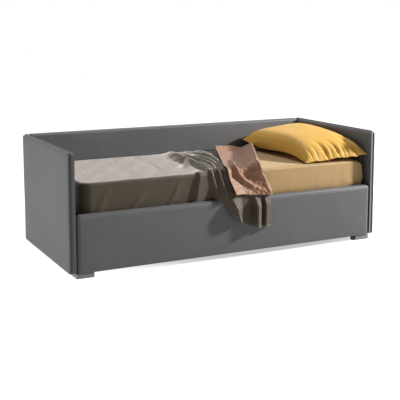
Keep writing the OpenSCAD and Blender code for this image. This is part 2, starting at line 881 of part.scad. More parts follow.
module tube_along_y(x) {
  y0 = front_tube_y + tube_s;
  y1 = rear_tube_y - tube_s;
  difference() {
    block([x, y0, tube_z], [x + tube_s, y1, tube_top]);
    block([x + tube_wall, y0 - over, tube_z + tube_wall],
      [x + tube_s - tube_wall, y1 + over, tube_top - tube_wall]);
  }
}

module front_rail() { color(steel_colour) tube_along_x(front_tube_y, -tube_end_x, tube_end_x); }
module rear_rail() { color(steel_colour) tube_along_x(rear_tube_y - tube_s, -tube_end_x, tube_end_x); }
module end_rail() {
  difference() {
    tube_along_y(tube_end_x - tube_s);
    bracket_bolt_places() translate([0, 0, -tube_wall - over])
      cylinder(r = bolt_r + shaft_gap, h = 2 * tube_wall + over);
  }
}
module left_end_rail() { color(steel_colour) at_end(true) end_rail(); }
module right_end_rail() { color(steel_colour) end_rail(); }

cross_bar_share = 1 / 3;
module cross_bars() {
  color(steel_colour) both_ends() tube_along_y(tube_end_x * cross_bar_share - tube_s / 2);
}

holder_fit = 0.5;
slat_edge = 24;
slat_y0 = front_tube_y + holder_wall + holder_fit;
slat_y1 = rear_tube_y - holder_wall - holder_fit;
slat_span = 2 * (tube_end_x - slat_edge) - slat_w;
function slat_x(i) = -tube_end_x + slat_edge + slat_w / 2 + slat_span * i / (slat_n - 1);

module slats() {
  color(slat_colour) for (i = [0:slat_n - 1])
    block([slat_x(i) - slat_w / 2, slat_y0, tube_top + holder_floor],
      [slat_x(i) + slat_w / 2, slat_y1, tube_top + holder_h]);
}

// Plastic holders on the tubes take the ends of the slats
holder_overhang = 10;
holder_l = tube_s + holder_overhang;
module slat_holder(x, y0, y1, front) {
  half = slat_w / 2 + holder_fit;
  difference() {
    block([x - half - holder_wall, y0, tube_top], [x + half + holder_wall, y1, tube_top + holder_h]);
    block([x - half, front ? y0 + holder_wall : y0 - over, tube_top + holder_floor],
      [x + half, front ? y1 + over : y1 - holder_wall, tube_top + holder_h + over]);
  }
}

module slat_holders() {
  color("#2b2b2b") for (i = [0:slat_n - 1]) {
    slat_holder(slat_x(i), front_tube_y, front_tube_y + holder_l, true);
    slat_holder(slat_x(i), rear_tube_y - holder_l, rear_tube_y, false);
  }
}

// Brackets: plates on the end tubes that carry the upper pivots
bracket_drop = 12;
bracket_lead = 40;
bolt_r = 3;

module bracket_bolt_places() {
  for (share = [0.3, 0.7])
    translate([tube_end_x, blend(front_arm_top[0], rear_top[0], share), pivot_z])
      rotate([0, -90, 0]) children();
}

module platform_bracket() {
  difference() {
    along_x(tube_end_x, bracket_t) translate([front_arm_top[0] - bracket_lead, tube_z - bracket_drop])
      rounded_rect(rear_top[0] - front_arm_top[0] + 2 * bracket_lead, tube_s + bracket_drop,
        [plate_r, plate_r, seam_r, seam_r]);
    bar_x(tube_end_x - over, bracket_t + 2 * over, rear_top, pivot_r + shaft_gap);
    bracket_bolt_places() translate([0, 0, -bracket_t - over])
      cylinder(r = bolt_r + shaft_gap, h = bracket_t + 2 * over);
  }
}

module platform_bracket_left() { color(dark_steel) at_end(true) platform_bracket(); }
module platform_bracket_right() { color(dark_steel) platform_bracket(); }

module bracket_bolts() {
  color(steel_colour) both_ends() bracket_bolt_places() {
    translate([0, 0, -bracket_t]) cylinder(r = bolt_r, h = bracket_t + tube_wall + over);
    translate([0, 0, -bracket_t - head_t / 2]) cylinder(r = 2 * bolt_r, h = head_t / 2);
  }
}

// Upper pivots of the rear arms: a spacer and a shoulder through the arm
module upper_pivots() {
  color(steel_colour) both_ends() {
    bar_x(tube_end_x, arm_outer - tube_end_x, rear_top, pivot_r);
    bar_x(bracket_outer, arm_inner - bracket_outer - near_gap, rear_top, head_r);
  }
}

// Steel straps behind the mattress keep it on the tilted platform
stop_w = 40;
stop_t = 2;
stop_rise = 60;
stop_shares = [-0.6, 0.6];
module mattress_stops() {
  y1 = back_lip_y - stop_panel_gap;
  color(dark_steel) for (share = stop_shares)
    along_x(tube_end_x * share - stop_w / 2, stop_w) polygon([
      [rear_tube_y, tube_z], [rear_tube_y + stop_t, tube_z],
      [rear_tube_y + stop_t, tube_top - stop_t], [y1, tube_top - stop_t],
      [y1, bed_z + stop_rise], [y1 - stop_t, bed_z + stop_rise],
      [y1 - stop_t, tube_top], [rear_tube_y, tube_top]
    ]);
}
stop_panel_gap = 6;

// A webbing loop to lift the platform by, under the front tube
strap_w = 30;
strap_t = 2;
strap_drop = 34;
module lift_strap() {
  y0 = front_tube_y + tube_s;
  color("#1d1d1f") along_x(-strap_w / 2, strap_w) difference() {
    union() {
      translate([y0, tube_z - strap_drop]) square([2 * strap_t + strap_t, strap_drop + tube_s - tube_wall]);
      translate([y0 + 1.5 * strap_t, tube_z - strap_drop]) circle(1.5 * strap_t);
    }
    translate([y0 + strap_t, tube_z - strap_drop]) square([strap_t, strap_drop]);
    translate([y0 + 1.5 * strap_t, tube_z - strap_drop]) circle(strap_t / 2);
  }
}

// Mattress and fitted sheet

module mattress() { color("#e9e4da") ring_solid(mattress_rings(0)); }

module fitted_sheet() {
  outer = mattress_rings(sheet_t + bedding_gap);
  inner = mattress_rings(bedding_gap);
  first = 1;
  color(ochre) ring_shell([for (i = [first:len(outer) - 1]) outer[i]],
    [for (i = [first:len(inner) - 1]) inner[i]]);
}

// Coverlet: a sheet over the left part of the mattress. Along X it is tucked in
// at the front as far as tuck_end_x, then comes out over the front panel and hangs

coverlet_z = sheet_top + mattress_crown + bedding_gap + coverlet_t / 2;
coverlet_x0 = mattress_x0 - sheet_t - 2 * bedding_gap;
cover_front_x = 235;
cover_rear_x = 400;
tuck_end_x = -200;
tuck_out_x = -165;
over_x = -115;
lobe_lead = 20;
lobe_x = 26;
deep_x = 153;
tuck_depth = 12;
tuck_z = front_top - tuck_depth;
ledge_gap = 3;
ledge_z = front_top + coverlet_t + ledge_gap;
lobe_z = 224;
deep_z = 182;
hang_gap = 4;
edge_bow = 24;
tuck_y = mattress_y0 - sheet_t - 2 * bedding_gap - coverlet_t / 2;
hang_y = front_face_y - hang_gap - coverlet_t / 2;
cover_rear_y = mattress_y1 - edge_bow;
column_shares = [
  0, 0.02, 0.1, 0.2, 0.32, 0.44, 0.54, 0.6, 0.63, 0.66, 0.69, 0.72, 0.75,
  0.78, 0.81, 0.84, 0.87, 0.9, 0.925, 0.95, 0.975, 1
];
top_rows = 10;
edge_rows = 3;
drop_rows = 8;
pleat_h = 9;
pleat_w = 46;
pleat_start = 15;
pleat_full = 40;
pleat_reach = 300;
fold_depth = 9;
fold_w = 62;

function drop_z(x) =
  x < tuck_out_x ? blend(tuck_z, ledge_z, ease(x, tuck_end_x, tuck_out_x))
  : x < over_x ? ledge_z
  : x < lobe_x ? blend(ledge_z, lobe_z, ease(x, over_x - lobe_lead, lobe_x))
  : blend(lobe_z, deep_z, ease(x, lobe_x, deep_x));
function drop_y(x) = blend(tuck_y, hang_y, ease(x, tuck_out_x, over_x));
function turn_left_x(s) = blend(turn_left_rear, turn_left_front, s);
function pleat(x, s) =
  let (from_turn = turn_left_x(s) - x)
  pleat_h * ease(from_turn, pleat_reach, pleat_reach * 0.6) * ease(from_turn, pleat_start, pleat_full)
  * (0.5 + 0.5 * sin(360 * from_turn / pleat_w)) * ease(s, 0, 0.2);
function fold(x, t) = fold_depth * t * ease(x, over_x, lobe_x) * (0.5 + 0.5 * sin(360 * x / fold_w));
// Middle surface and its outward direction, as [y, z] pairs, at share s of the top
function coverlet_top_point(x, s, up) =
  [blend(cover_rear_y, mattress_y0 + edge_bow, s), coverlet_z + pleat(x, s) + up];
edge_r = mattress_y0 + edge_bow - tuck_y;
edge_z = coverlet_z - edge_r;
function coverlet_edge_point(a, up) =
  [mattress_y0 + edge_bow - (edge_r + up) * sin(a), edge_z + (edge_r + up) * cos(a)];
function drop_out(z) = ease(z, edge_z, ledge_z);
function coverlet_drop_point(x, t, up) =
  let (z = blend(edge_z, drop_z(x), t))
  [blend(tuck_y, drop_y(x), drop_out(z)) - up - fold(x, t), z];
function coverlet_column(x_share, up) =
  let (x_front = blend(coverlet_x0, cover_front_x, x_share))
  [for (k = [drop_rows:-1:0])
      let (p = coverlet_drop_point(x_front, k / drop_rows, up)) [x_front, p[0], p[1]],
    for (k = [edge_rows - 1:-1:1])
      let (p = coverlet_edge_point(90 * k / edge_rows, up)) [x_front, p[0], p[1]],
    for (k = [top_rows:-1:0])
      let (s = k / top_rows, x = blend(coverlet_x0, blend(cover_rear_x, cover_front_x, s), x_share),
        p = coverlet_top_point(x, s, up)) [x, p[0], p[1]]
  ];

module coverlet() {
  color(taupe) grid_solid(
    [for (s = column_shares) coverlet_column(s, coverlet_t / 2)],
    [for (s = column_shares) coverlet_column(s, -coverlet_t / 2)]
  );
}

// Turned back sheet: a slanted band over the coverlet's right edge

turn_t = 2.5;
turn_gap = 1.2;
turn_left_rear = 313;
turn_left_front = 2;
turn_left_low = 12;
turn_right_rear = 597;
turn_right_front = 230;
turn_right_low = 262;
turn_low_z = 366;
turn_left_z = 395;
turn_columns = 12;
turn_top_rows = 12;
turn_drop_rows = 6;
turn_rise = 40;
turn_z = coverlet_z + coverlet_t / 2 + turn_gap + turn_t / 2;
turn_fold_h = 10;
turn_over = coverlet_t / 2 + turn_gap + turn_t / 2;

function turn_hump(u, s) = turn_fold_h * (0.5 - 0.5 * cos(360 * (2 * u + s))) * (0.25 + s / 2);
function turn_column(u, up) =
  let (
    x_front = blend(turn_left_front, turn_right_front, u),
    x_low = blend(turn_left_low, turn_right_low, u)
  )
  [for (k = [turn_drop_rows:-1:0])
      let (t = k / turn_drop_rows, z = blend(edge_z, blend(turn_left_z, turn_low_z, u), t))
      [blend(x_front, x_low, t),
        blend(tuck_y, hang_y, drop_out(z)) - turn_over - up - fold_depth * t
          - turn_hump(u, 1) * ease(t, 0, 0.3), z],
    for (k = [edge_rows - 1:-1:1])
      let (p = coverlet_edge_point(90 * k / edge_rows, turn_over + up)) [x_front, p[0], p[1]],
    for (k = [turn_top_rows:-1:0])
      let (s = k / turn_top_rows)
      [blend(blend(turn_left_rear, turn_right_rear, u), x_front, s),
        blend(cover_rear_y, mattress_y0 + edge_bow, s),
        turn_z + up + turn_rise * (1 - u) * ease(s, 0.25, 0)
          + turn_hump(u, s) * ease(s, 0.05, 0.3) * ease(s, 1, 0.8)]
  ];

module turned_back_sheet() {
  color(pink) grid_solid(
    [for (i = [0:turn_columns]) turn_column(i / turn_columns, turn_t / 2)],
    [for (i = [0:turn_columns]) turn_column(i / turn_columns, -turn_t / 2)]
  );
}

// Pillow: a flanged pillow that leans on the back and the right side panel

pillow_gap = 6;
pillow_lean = 8;
pillow_back_gap = 16;
pillow_overhang = 55;
pillow_left_x = 572;
pillow_skew = 48;
pillow_rear_y = back_lip_y - pillow_back_gap;
pillow_front_y = pillow_rear_y - pillow_l;
pillow_front_left_rise = 11;
pillow_front_right_rise = 44;
pillow_rear_left_rise = 72;
pillow_rear_right_rise = 110;
pillow_front_left = [pillow_left_x, pillow_front_y, sheet_top + pillow_front_left_rise];
pillow_front_right = [
  inner_x - pillow_gap - pillow_lean, pillow_front_y - pillow_overhang, sheet_top + pillow_front_right_rise
];
pillow_rear_left = [pillow_left_x - pillow_skew, pillow_rear_y, sheet_top + pillow_rear_left_rise];
pillow_rear_right = [inner_x - pillow_gap, pillow_rear_y, sheet_top + pillow_rear_right_rise];
pillow_columns = 16;
pillow_rows = 20;
pillow_draw = 16;
pillow_seam = 2;
flange_share = 0.9;
pillow_floor = sheet_top + mattress_crown + near_gap;

function lens(u) = let (t = min(1, abs(u) / flange_share)) pow(1 - pow(t, 2.4), 0.75);
function pillow_mid(u, v) =
  let (
    a = (u + 1) / 2, b = (v + 1) / 2,
    front = blend(pillow_front_left, pillow_front_right, a),
    rear = blend(pillow_rear_left, pillow_rear_right, a),
    flat = blend(front, rear, b)
  )
  flat + [-sign(u) * pillow_draw * (1 - v * v) * abs(u), -sign(v) * pillow_draw * (1 - u * u) * abs(v), 0];
function pillow_top(u, v) = pillow_mid(u, v) + [0, 0, pillow_seam + pillow_loft * lens(u) * lens(v)];
function pillow_bottom(u, v) =
  let (p = pillow_mid(u, v), z = p[2] - pillow_seam - pillow_loft * 0.6 * lens(u) * lens(v))
  [p[0], p[1], max(min(z, p[2] - pillow_seam), min(pillow_floor, p[2] - pillow_seam))];
function grid_share(i, n) = let (t = 2 * i / n - 1) t * (1.25 - 0.25 * t * t);

module pillow() {
  us = [for (i = [0:pillow_columns]) grid_share(i, pillow_columns)];
  vs = [for (j = [0:pillow_rows]) grid_share(j, pillow_rows)];
  color(gold) grid_solid(
    [for (u = us) [for (v = vs) pillow_top(u, v)]],
    [for (u = us) [for (v = vs) pillow_bottom(u, v)]]
  );
}

left_core_board();
left_cover();
right_core_board();
right_cover();
back_core_board();
back_cover();
front_core_board();
front_cover();
corner_brackets();
bracket_screws();
front_floor_batten();
rear_floor_batten();
end_floor_battens();
foot_blocks();
crossbeam();
floor_panel_left();
floor_panel_right();
floor_joiner();
foot_front_left();
foot_front_right();
foot_rear_left();
foot_rear_right();
centre_foot();
foot_screws();
front_rest_batten();
rest_buffers();
base_plate_left();
base_plate_right();
base_plate_screws();
lower_pivots();
gas_lower_studs();
arm_stops();
rear_arm_left();
rear_arm_right();
front_arm_left();
front_arm_right();
gas_cylinder_left();
gas_cylinder_right();
gas_rod_left();
gas_rod_right();
front_rail();
rear_rail();
left_end_rail();
right_end_rail();
cross_bars();
slats();
slat_holders();
platform_bracket_left();
platform_bracket_right();
bracket_bolts();
upper_pivots();
mattress_stops();
lift_strap();
mattress();
fitted_sheet();
coverlet();
turned_back_sheet();
pillow();
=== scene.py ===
import math

import bpy
import numpy as np
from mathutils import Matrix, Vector


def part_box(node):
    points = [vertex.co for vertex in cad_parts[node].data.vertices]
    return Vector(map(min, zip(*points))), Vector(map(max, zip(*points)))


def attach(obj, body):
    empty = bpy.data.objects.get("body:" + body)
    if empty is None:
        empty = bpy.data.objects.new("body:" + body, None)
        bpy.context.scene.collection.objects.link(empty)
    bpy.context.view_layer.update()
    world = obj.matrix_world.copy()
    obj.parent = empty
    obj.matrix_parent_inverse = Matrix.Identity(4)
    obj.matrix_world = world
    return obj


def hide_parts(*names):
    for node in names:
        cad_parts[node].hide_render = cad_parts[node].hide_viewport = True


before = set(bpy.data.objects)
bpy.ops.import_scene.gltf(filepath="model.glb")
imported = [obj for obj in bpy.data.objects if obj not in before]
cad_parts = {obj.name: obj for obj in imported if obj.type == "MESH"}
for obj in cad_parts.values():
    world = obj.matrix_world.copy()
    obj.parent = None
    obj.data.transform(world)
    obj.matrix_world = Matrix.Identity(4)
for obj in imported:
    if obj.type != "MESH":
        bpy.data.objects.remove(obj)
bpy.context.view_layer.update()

# Studio
# The sofa bed stands on a pale seamless floor in a white studio, lit by one strong
# lamp from the right, a broad one above and a small one from the left.

CAMERA_PLACE = (-2.4612, -4.8132, 1.4052)
CAMERA_TILT = 7.851
CAMERA_TURN = 26.993
CAMERA_LENS = 76.725
CAMERA_SHIFT_UP = -0.15
FLOOR_HALF = 14.0


def linear(hex_colour):
    """An sRGB colour, written in hex, as the linear colour that a shader takes."""
    parts = [int(hex_colour[i:i + 2], 16) / 255 for i in (0, 2, 4)]
    return tuple(c / 12.92 if c <= 0.04045 else ((c + 0.055) / 1.055) ** 2.4 for c in parts) + (1.0,)


def add_node(tree, kind, inputs=None, **settings):
    """Adds one node. An input is a plain value, or another node's output to link."""
    node = tree.nodes.new(kind)
    for name, value in settings.items():
        setattr(node, name, value)
    for socket, value in (inputs or {}).items():
        if isinstance(value, bpy.types.NodeSocket):
            tree.links.new(value, node.inputs[socket])
        else:
            node.inputs[socket].default_value = value
    return node


def empty_tree(name):
    """A new material and its node tree, with no nodes in it."""
    material = bpy.data.materials.new(name)
    material.use_nodes = True
    material.node_tree.nodes.clear()
    return material, material.node_tree


def seen_directly(tree):
    """1 for rays from the camera, or seen in metal or through glass, and 0 for light."""
    path = add_node(tree, "ShaderNodeLightPath")
    first = add_node(tree, "ShaderNodeMath", {0: path.outputs["Is Camera Ray"],
                                              1: path.outputs["Is Glossy Ray"]}, operation="MAXIMUM")
    both = add_node(tree, "ShaderNodeMath", {0: first.outputs[0],
                                             1: path.outputs["Is Transmission Ray"]}, operation="MAXIMUM")
    return both.outputs[0]


camera_data = bpy.data.cameras.new("photo_camera")
camera_data.lens = CAMERA_LENS
camera_data.sensor_width = 36
camera_data.shift_y = CAMERA_SHIFT_UP
camera_data.clip_end = 60
camera = bpy.data.objects.new("photo_camera", camera_data)
camera.location = CAMERA_PLACE
camera.rotation_euler = (math.radians(90 - CAMERA_TILT), 0, math.radians(-CAMERA_TURN))
bpy.context.collection.objects.link(camera)
bpy.context.scene.camera = camera
bpy.context.scene.view_settings.view_transform = "Standard"

world = bpy.data.worlds.new("studio")
world.use_nodes = True
world.node_tree.nodes.clear()
bpy.context.scene.world = world
walls = world.node_tree
wall_light = add_node(walls, "ShaderNodeBackground", {"Color": (1, 1, 1, 1), "Strength": 0.12})
wall_white = add_node(walls, "ShaderNodeBackground", {"Color": (1, 1, 1, 1), "Strength": 1.0})
wall_mix = add_node(walls, "ShaderNodeMixShader", {0: seen_directly(walls), 1: wall_light.outputs[0],
                                                   2: wall_white.outputs[0]})
add_node(walls, "ShaderNodeOutputWorld", {"Surface": wall_mix.outputs[0]})

# Pale paper: matt and even, and lifted to white where it is seen directly, the more
# so away from the bed, where only the shadow should show
paper, tree = empty_tree("floor_paper")
place = add_node(tree, "ShaderNodeTexCoord").outputs["Object"]
round_bed = add_node(tree, "ShaderNodeMapping", {"Vector": place, "Location": (-0.3, 0, 0),
                                                   "Scale": (1 / 0.95, 1 / 0.45, 1.0)})
away = add_node(tree, "ShaderNodeVectorMath", {0: round_bed.outputs[0]}, operation="LENGTH")
far = add_node(tree, "ShaderNodeMapRange", {"Value": away.outputs["Value"], "From Min": 0.9, "From Max": 1.45,
                                            "To Min": 0.5, "To Max": 1.0}, interpolation_type="SMOOTHSTEP")
paper_matt = add_node(tree, "ShaderNodeBsdfDiffuse", {"Color": linear("b8b8b8")})
paper_lift = add_node(tree, "ShaderNodeEmission", {"Color": (1, 1, 1, 1), "Strength": far.outputs[0]})
paper_both = add_node(tree, "ShaderNodeAddShader", {0: paper_matt.outputs[0], 1: paper_lift.outputs[0]})
paper_mix = add_node(tree, "ShaderNodeMixShader", {0: seen_directly(tree), 1: paper_matt.outputs[0],
                                                   2: paper_both.outputs[0]})
add_node(tree, "ShaderNodeOutputMaterial", {"Surface": paper_mix.outputs[0]})

floor_mesh = bpy.data.meshes.new("studio_floor")
floor_mesh.from_pydata([(-FLOOR_HALF, -FLOOR_HALF, 0), (FLOOR_HALF, -FLOOR_HALF, 0),
                        (FLOOR_HALF, FLOOR_HALF, 0), (-FLOOR_HALF, FLOOR_HALF, 0)], [], [(0, 1, 2, 3)])
floor_mesh.materials.append(paper)
studio_floor = bpy.data.objects.new("studio_floor", floor_mesh)
bpy.context.collection.objects.link(studio_floor)


def soft_lamp(name, place, aim, size, power):
    """A square soft lamp at a place, turned to the point that it lights."""
    lamp_data = bpy.data.lights.new(name, "AREA")
    lamp_data.size = size
    lamp_data.energy = power
    lamp = bpy.data.objects.new(name, lamp_data)
    lamp.location = place
    lamp.rotation_euler = (Vector(aim) - Vector(place)).to_track_quat("-Z", "Y").to_euler()
    bpy.context.collection.objects.link(lamp)


soft_lamp("key_lamp", (4.7, -2.1, 2.8), (0, 0, 0.4), 0.5, 498)
soft_lamp("top_lamp", (0.5, 1.0, 4.0), (0.2, 0, 0.4), 1.6, 52)
soft_lamp("left_lamp", (-3.6, -0.4, 0.85), (-1.04, 0, 0.4), 0.6, 43)

# Upholstered panels
# Boards wrapped in foam and grey leatherette. Each cover is cut from flat faces and
# an edge band, and sewn with a raised seam that runs round the panel.

# Points across a panel's edge, as (distance from the outer face, drop), in mm
SIDE_FRONT_EDGE = [
    (0, 15), (0.8, 8.6), (2.6, 4.4), (5, 3.4), (7.4, 5.8), (9, 8.4), (11, 9.6), (14, 8.8), (18, 6.6),
    (22, 4.3), (26, 2.1), (29.5, 0.1), (32.5, -1.6), (35, -3.4), (36.8, -4.6), (38.2, -4),
    (39.2, 0.5), (40, 9),
]
SIDE_TOP_EDGE = [
    (0, 22), (1.2, 15), (3.7, 9.8), (7.2, 6.2), (11, 4.4), (14.6, 3.8), (17.4, 3.8), (18.8, 3.6), (19.7, 1.6),
    (20.5, -1.6), (21.6, -2.4), (22.7, -1.6), (23.6, 2.2), (25.4, 4.4), (29, 4.6), (33.6, 6.2),
    (37.8, 9.8), (40, 17),
]
FOOT_ROLL = [(0, 6), (0.8, 2.6), (2.4, 0.8), (5, 0.1)]
SIDE_FOOT_EDGE = FOOT_ROLL + [(w, 0) for w in range(8, 33, 3)] + [
    (34, 0), (36, 0.1), (38, 0.8), (39.4, 2.6), (40, 6),
]
LONG_TOP_EDGE = [
    (0, 24), (0.9, 17.4), (3.2, 11.4), (6.8, 6.4), (11.4, 2.9), (16.4, 1), (21.6, 0.2), (26, 0), (29.6, 0.2),
    (32.4, 0.7), (34.8, 1.5), (36.8, 2.6), (38.4, 4), (39.8, 5.8), (40.8, 7.8), (41.5, 10),
    (41.9, 12.4), (42, 15),
]
LONG_FOOT_EDGE = FOOT_ROLL + [(w, 0) for w in range(8, 36, 3)] + [
    (37.5, 0.1), (40, 0.8), (41.4, 2.6), (42, 6),
]
MM = 0.001
# Steps round half a corner, and where the stuffing starts to rise from a board's rim
# and over what length it does, in mm
CORNER_STEPS = 5
CROWN_START, CROWN_FADE = 6, 60


def corner_walk(size, radii, cell):
    """A rounded rectangle's points and outward normals, as four sides that each run
    from the middle of one rounded corner to the middle of the next, anticlockwise."""
    width, height = size
    middles = np.array([(radii[0], radii[0]), (width - radii[1], radii[1]),
                        (width - radii[2], height - radii[2]), (radii[3], height - radii[3])])
    half_corner = math.radians(45) * np.arange(CORNER_STEPS + 1) / CORNER_STEPS
    sides = []
    for k in range(4):
        after = (k + 1) % 4
        facing = math.radians(90 * k - 90)
        count = max(2, round(size[k % 2] / cell))
        straight = (size[k % 2] - radii[k] - radii[after]) * np.arange(1, count) / count
        angles = np.concatenate([facing - math.radians(45) + half_corner, np.full(count - 1, facing),
                                 facing + half_corner])
        normals = np.column_stack([np.cos(angles), np.sin(angles)])
        points = middles[k] + radii[k] * normals
        first, last = CORNER_STEPS + 1, CORNER_STEPS + count
        points[first:last] += np.outer(straight, (-math.sin(facing), math.cos(facing)))
        points[last:] = middles[after] + radii[after] * normals[last:]
        sides.append((points, normals))
    return sides


def fill_grid(bottom, right, top, left):
    """Points that fill the space between four rows of points, which meet at their ends."""
    across = (bottom[:, 0] - bottom[0, 0]) / (bottom[-1, 0] - bottom[0, 0])
    up = (left[:, 1] - left[0, 1]) / (left[-1, 1] - left[0, 1])
    u, v = np.meshgrid(across, up, indexing="ij")
    u, v = u[..., None], v[..., None]
    lofted = (1 - v) * bottom[:, None] + v * top[:, None] + (1 - u) * left[None] + u * right[None]
    corners = ((1 - u) * (1 - v) * bottom[0] + u * (1 - v) * bottom[-1]
               + (1 - u) * v * top[0] + u * v * top[-1])
    return lofted - corners


def mesh_piece(name, points, faces, material):
    """A new smooth piece from points in metres and faces."""
    mesh = bpy.data.meshes.new(name)
    mesh.from_pydata([tuple(p) for p in points], [], [tuple(f) for f in faces])
    mesh.materials.append(material)
    mesh.validate()
    mesh.shade_smooth()
    piece = bpy.data.objects.new(name, mesh)
    bpy.context.collection.objects.link(piece)
    return piece


def apply_modifier(piece, kind, **settings):
    """Adds a modifier to a piece and applies it at once."""
    bpy.ops.object.select_all(action="DESELECT")
    bpy.context.view_layer.objects.active = piece
    piece.select_set(True)
    modifier = piece.modifiers.new(kind.title(), kind)
    for field, value in settings.items():
        setattr(modifier, field, value)
    bpy.ops.object.modifier_apply(modifier=modifier.name)


def grid_faces(index):
    """The four-sided faces of a grid of point numbers."""
    quads = np.stack([index[:-1, :-1], index[1:, :-1], index[1:, 1:], index[:-1, 1:]], axis=-1)
    return quads.reshape(-1, 4).tolist()


def soft_board(name, material, size, radii, edge_at, place, crowns, shape, cell=24, closed=True):
    """A padded board: two crowned faces joined by a shaped edge band.

    size is (width, height) of its outline in mm, edge_at(normal) gives the points
    across the edge there, shape moves all points, and place(u, v, w) turns outline
    and depth into X, Y, Z. A board that isn't closed has no second face.
    """
    sides = corner_walk(size, radii, cell)
    counts = [len(p) - 1 for p, _ in sides]
    ring_points = np.concatenate([p[:-1] for p, _ in sides])
    ring_normals = np.concatenate([n[:-1] for _, n in sides])
    edges = np.array([edge_at(n) for n in ring_normals])
    rings = []
    for k in range(edges.shape[1]):
        flat = ring_points - ring_normals * edges[:, k, 1:2]
        rings.append(np.column_stack([flat, edges[:, k, 0]]))
    n = len(ring_points)
    starts = np.cumsum([0] + counts)
    points = [p for ring in rings for p in ring]
    band = np.arange(len(points)).reshape(-1, n)
    faces = grid_faces(np.column_stack([band, band[:, 0]]).T)
    for ring, base, crown, turned in ((rings[0], 0, -crowns[0], True),
                                      (rings[-1], (len(rings) - 1) * n, crowns[1], False)):
        if not turned and not closed:
            continue
        loop = [np.array([ring[(starts[k] + i) % n] for i in range(counts[k] + 1)]) for k in range(4)]
        grid = fill_grid(loop[0], loop[1], loop[2][::-1], loop[3][::-1])
        reach = np.minimum(np.minimum(grid[..., 0], size[0] - grid[..., 0]),
                           np.minimum(grid[..., 1], size[1] - grid[..., 1]))
        rise = 1 - np.exp(-np.maximum(reach - CROWN_START, 0) / CROWN_FADE)
        grid[..., 2] += crown * rise
        nu, nv = grid.shape[0] - 1, grid.shape[1] - 1
        index = np.zeros((nu + 1, nv + 1), dtype=int)
        i, j = np.arange(nu + 1), np.arange(nv + 1)
        index[:, 0], index[:, nv] = (starts[0] + i) % n, (starts[2] + nu - i) % n
        index[nu], index[0] = (starts[1] + j) % n, (starts[3] + nv - j) % n
        index += base
        index[1:-1, 1:-1] = len(points) + np.arange((nu - 1) * (nv - 1)).reshape(nu - 1, nv - 1)
        points += list(grid[1:-1, 1:-1].reshape(-1, 3))
        faces += [face[::-1] if turned else face for face in grid_faces(index)]
    points = shape(np.array(points))
    placed = np.array([place(*p) for p in points]) * MM
    a, b, c, d = placed[np.array(faces)].transpose(1, 0, 2)
    if np.sum(a * (np.cross(b, c) + np.cross(c, d))) < 0:
        faces = [face[::-1] for face in faces]
    piece = mesh_piece(name, placed, faces, material)
    apply_modifier(piece, "SUBSURF", levels=1, render_levels=1)
    return piece


def eased(v, a=0.0, b=1.0):
    """Smooth step from 0 to 1 while v goes from a to b."""
    t = np.clip((v - a) / (b - a), 0, 1)
    return t * t * (3 - 2 * t)


def mixed_edge(first, second, share):
    """Points between two edge shapes."""
    return np.array(first) * (1 - share) + np.array(second) * share


# Embossed polyurethane leatherette: an even grey with a fine pebble grain, a soft
# broad sheen and slightly darker hollows
leatherette, tree = empty_tree("grey_leatherette")
coords = add_node(tree, "ShaderNodeTexCoord").outputs["Object"]
clouds = add_node(tree, "ShaderNodeTexNoise", {"Vector": coords, "Scale": 5.0, "Detail": 3.0,
                                               "Roughness": 0.55}).outputs["Fac"]
tone = add_node(tree, "ShaderNodeValToRGB", {"Fac": clouds})
tone.color_ramp.elements[0].position = 0.35
tone.color_ramp.elements[0].color = linear("545455")
tone.color_ramp.elements[1].position = 0.68
tone.color_ramp.elements[1].color = linear("5a5a5b")
# The real pebbles are under 1 mm; these are 2.5 mm apart, so that they show
pebbles = add_node(tree, "ShaderNodeTexVoronoi", {"Vector": coords, "Scale": 400.0}, feature="SMOOTH_F1")
hollows = add_node(tree, "ShaderNodeMapRange", {"Value": pebbles.outputs["Distance"], "From Max": 0.7})
creases = add_node(tree, "ShaderNodeTexNoise", {"Vector": coords, "Scale": 22.0, "Detail": 5.0,
                                                "Roughness": 0.6, "Distortion": 0.6})
grain_bump = add_node(tree, "ShaderNodeBump", {"Height": hollows.outputs[0], "Strength": 0.14,
                                               "Distance": 0.0004}, invert=True)
skin_bump = add_node(tree, "ShaderNodeBump", {"Height": creases.outputs["Fac"], "Strength": 0.22,
                                              "Distance": 0.002, "Normal": grain_bump.outputs[0]})
gloss = add_node(tree, "ShaderNodeMapRange", {"Value": clouds, "To Min": 0.5, "To Max": 0.6})
skin = add_node(tree, "ShaderNodeBsdfPrincipled", {
    "Base Color": tone.outputs[0], "Roughness": gloss.outputs[0], "IOR": 1.46,
    "Normal": skin_bump.outputs[0], "Sheen Weight": 0.06, "Sheen Roughness": 0.5})
add_node(tree, "ShaderNodeOutputMaterial", {"Surface": skin.outputs[0]})

# Corner radii of the panels, from the low front or left corner round, and the rise of
# their outer and inner faces, in mm; and the depth over which a lean fades
SIDE_RADII, SIDE_CROWNS = (17, 26, 20, 20), (3.5, 1.2)
FRONT_RADII, FRONT_CROWNS = (26, 26, 26, 26), (3.0, 0.5)
BACK_RADII, BACK_CROWNS = (26, 26, 9, 9), (3.0, 2.0)
LEAN_FADE = 34
LONG_THICK = 42


def side_edge_at(normal):
    """A side panel's edge: seam inside at the front and rear, near the middle on top."""
    upright = mixed_edge(SIDE_FRONT_EDGE, SIDE_TOP_EDGE, eased(normal[1]))
    return mixed_edge(upright, SIDE_FOOT_EDGE, eased(-normal[1]))


def stuffed(depth, strength):
    """A shape that moves a panel's outer face, down to a depth, by slow uneven waves."""
    def shape(points):
        u, v, w = points.T
        waves = np.sin(u / 97 + 1.3 * np.sin(v / 160)) + np.sin(v / 71 + 0.8 * np.sin(u / 130) + 2)
        points[:, 2] = w - np.clip(1 - w / depth, 0, 1) * strength * waves
        return points
    return shape


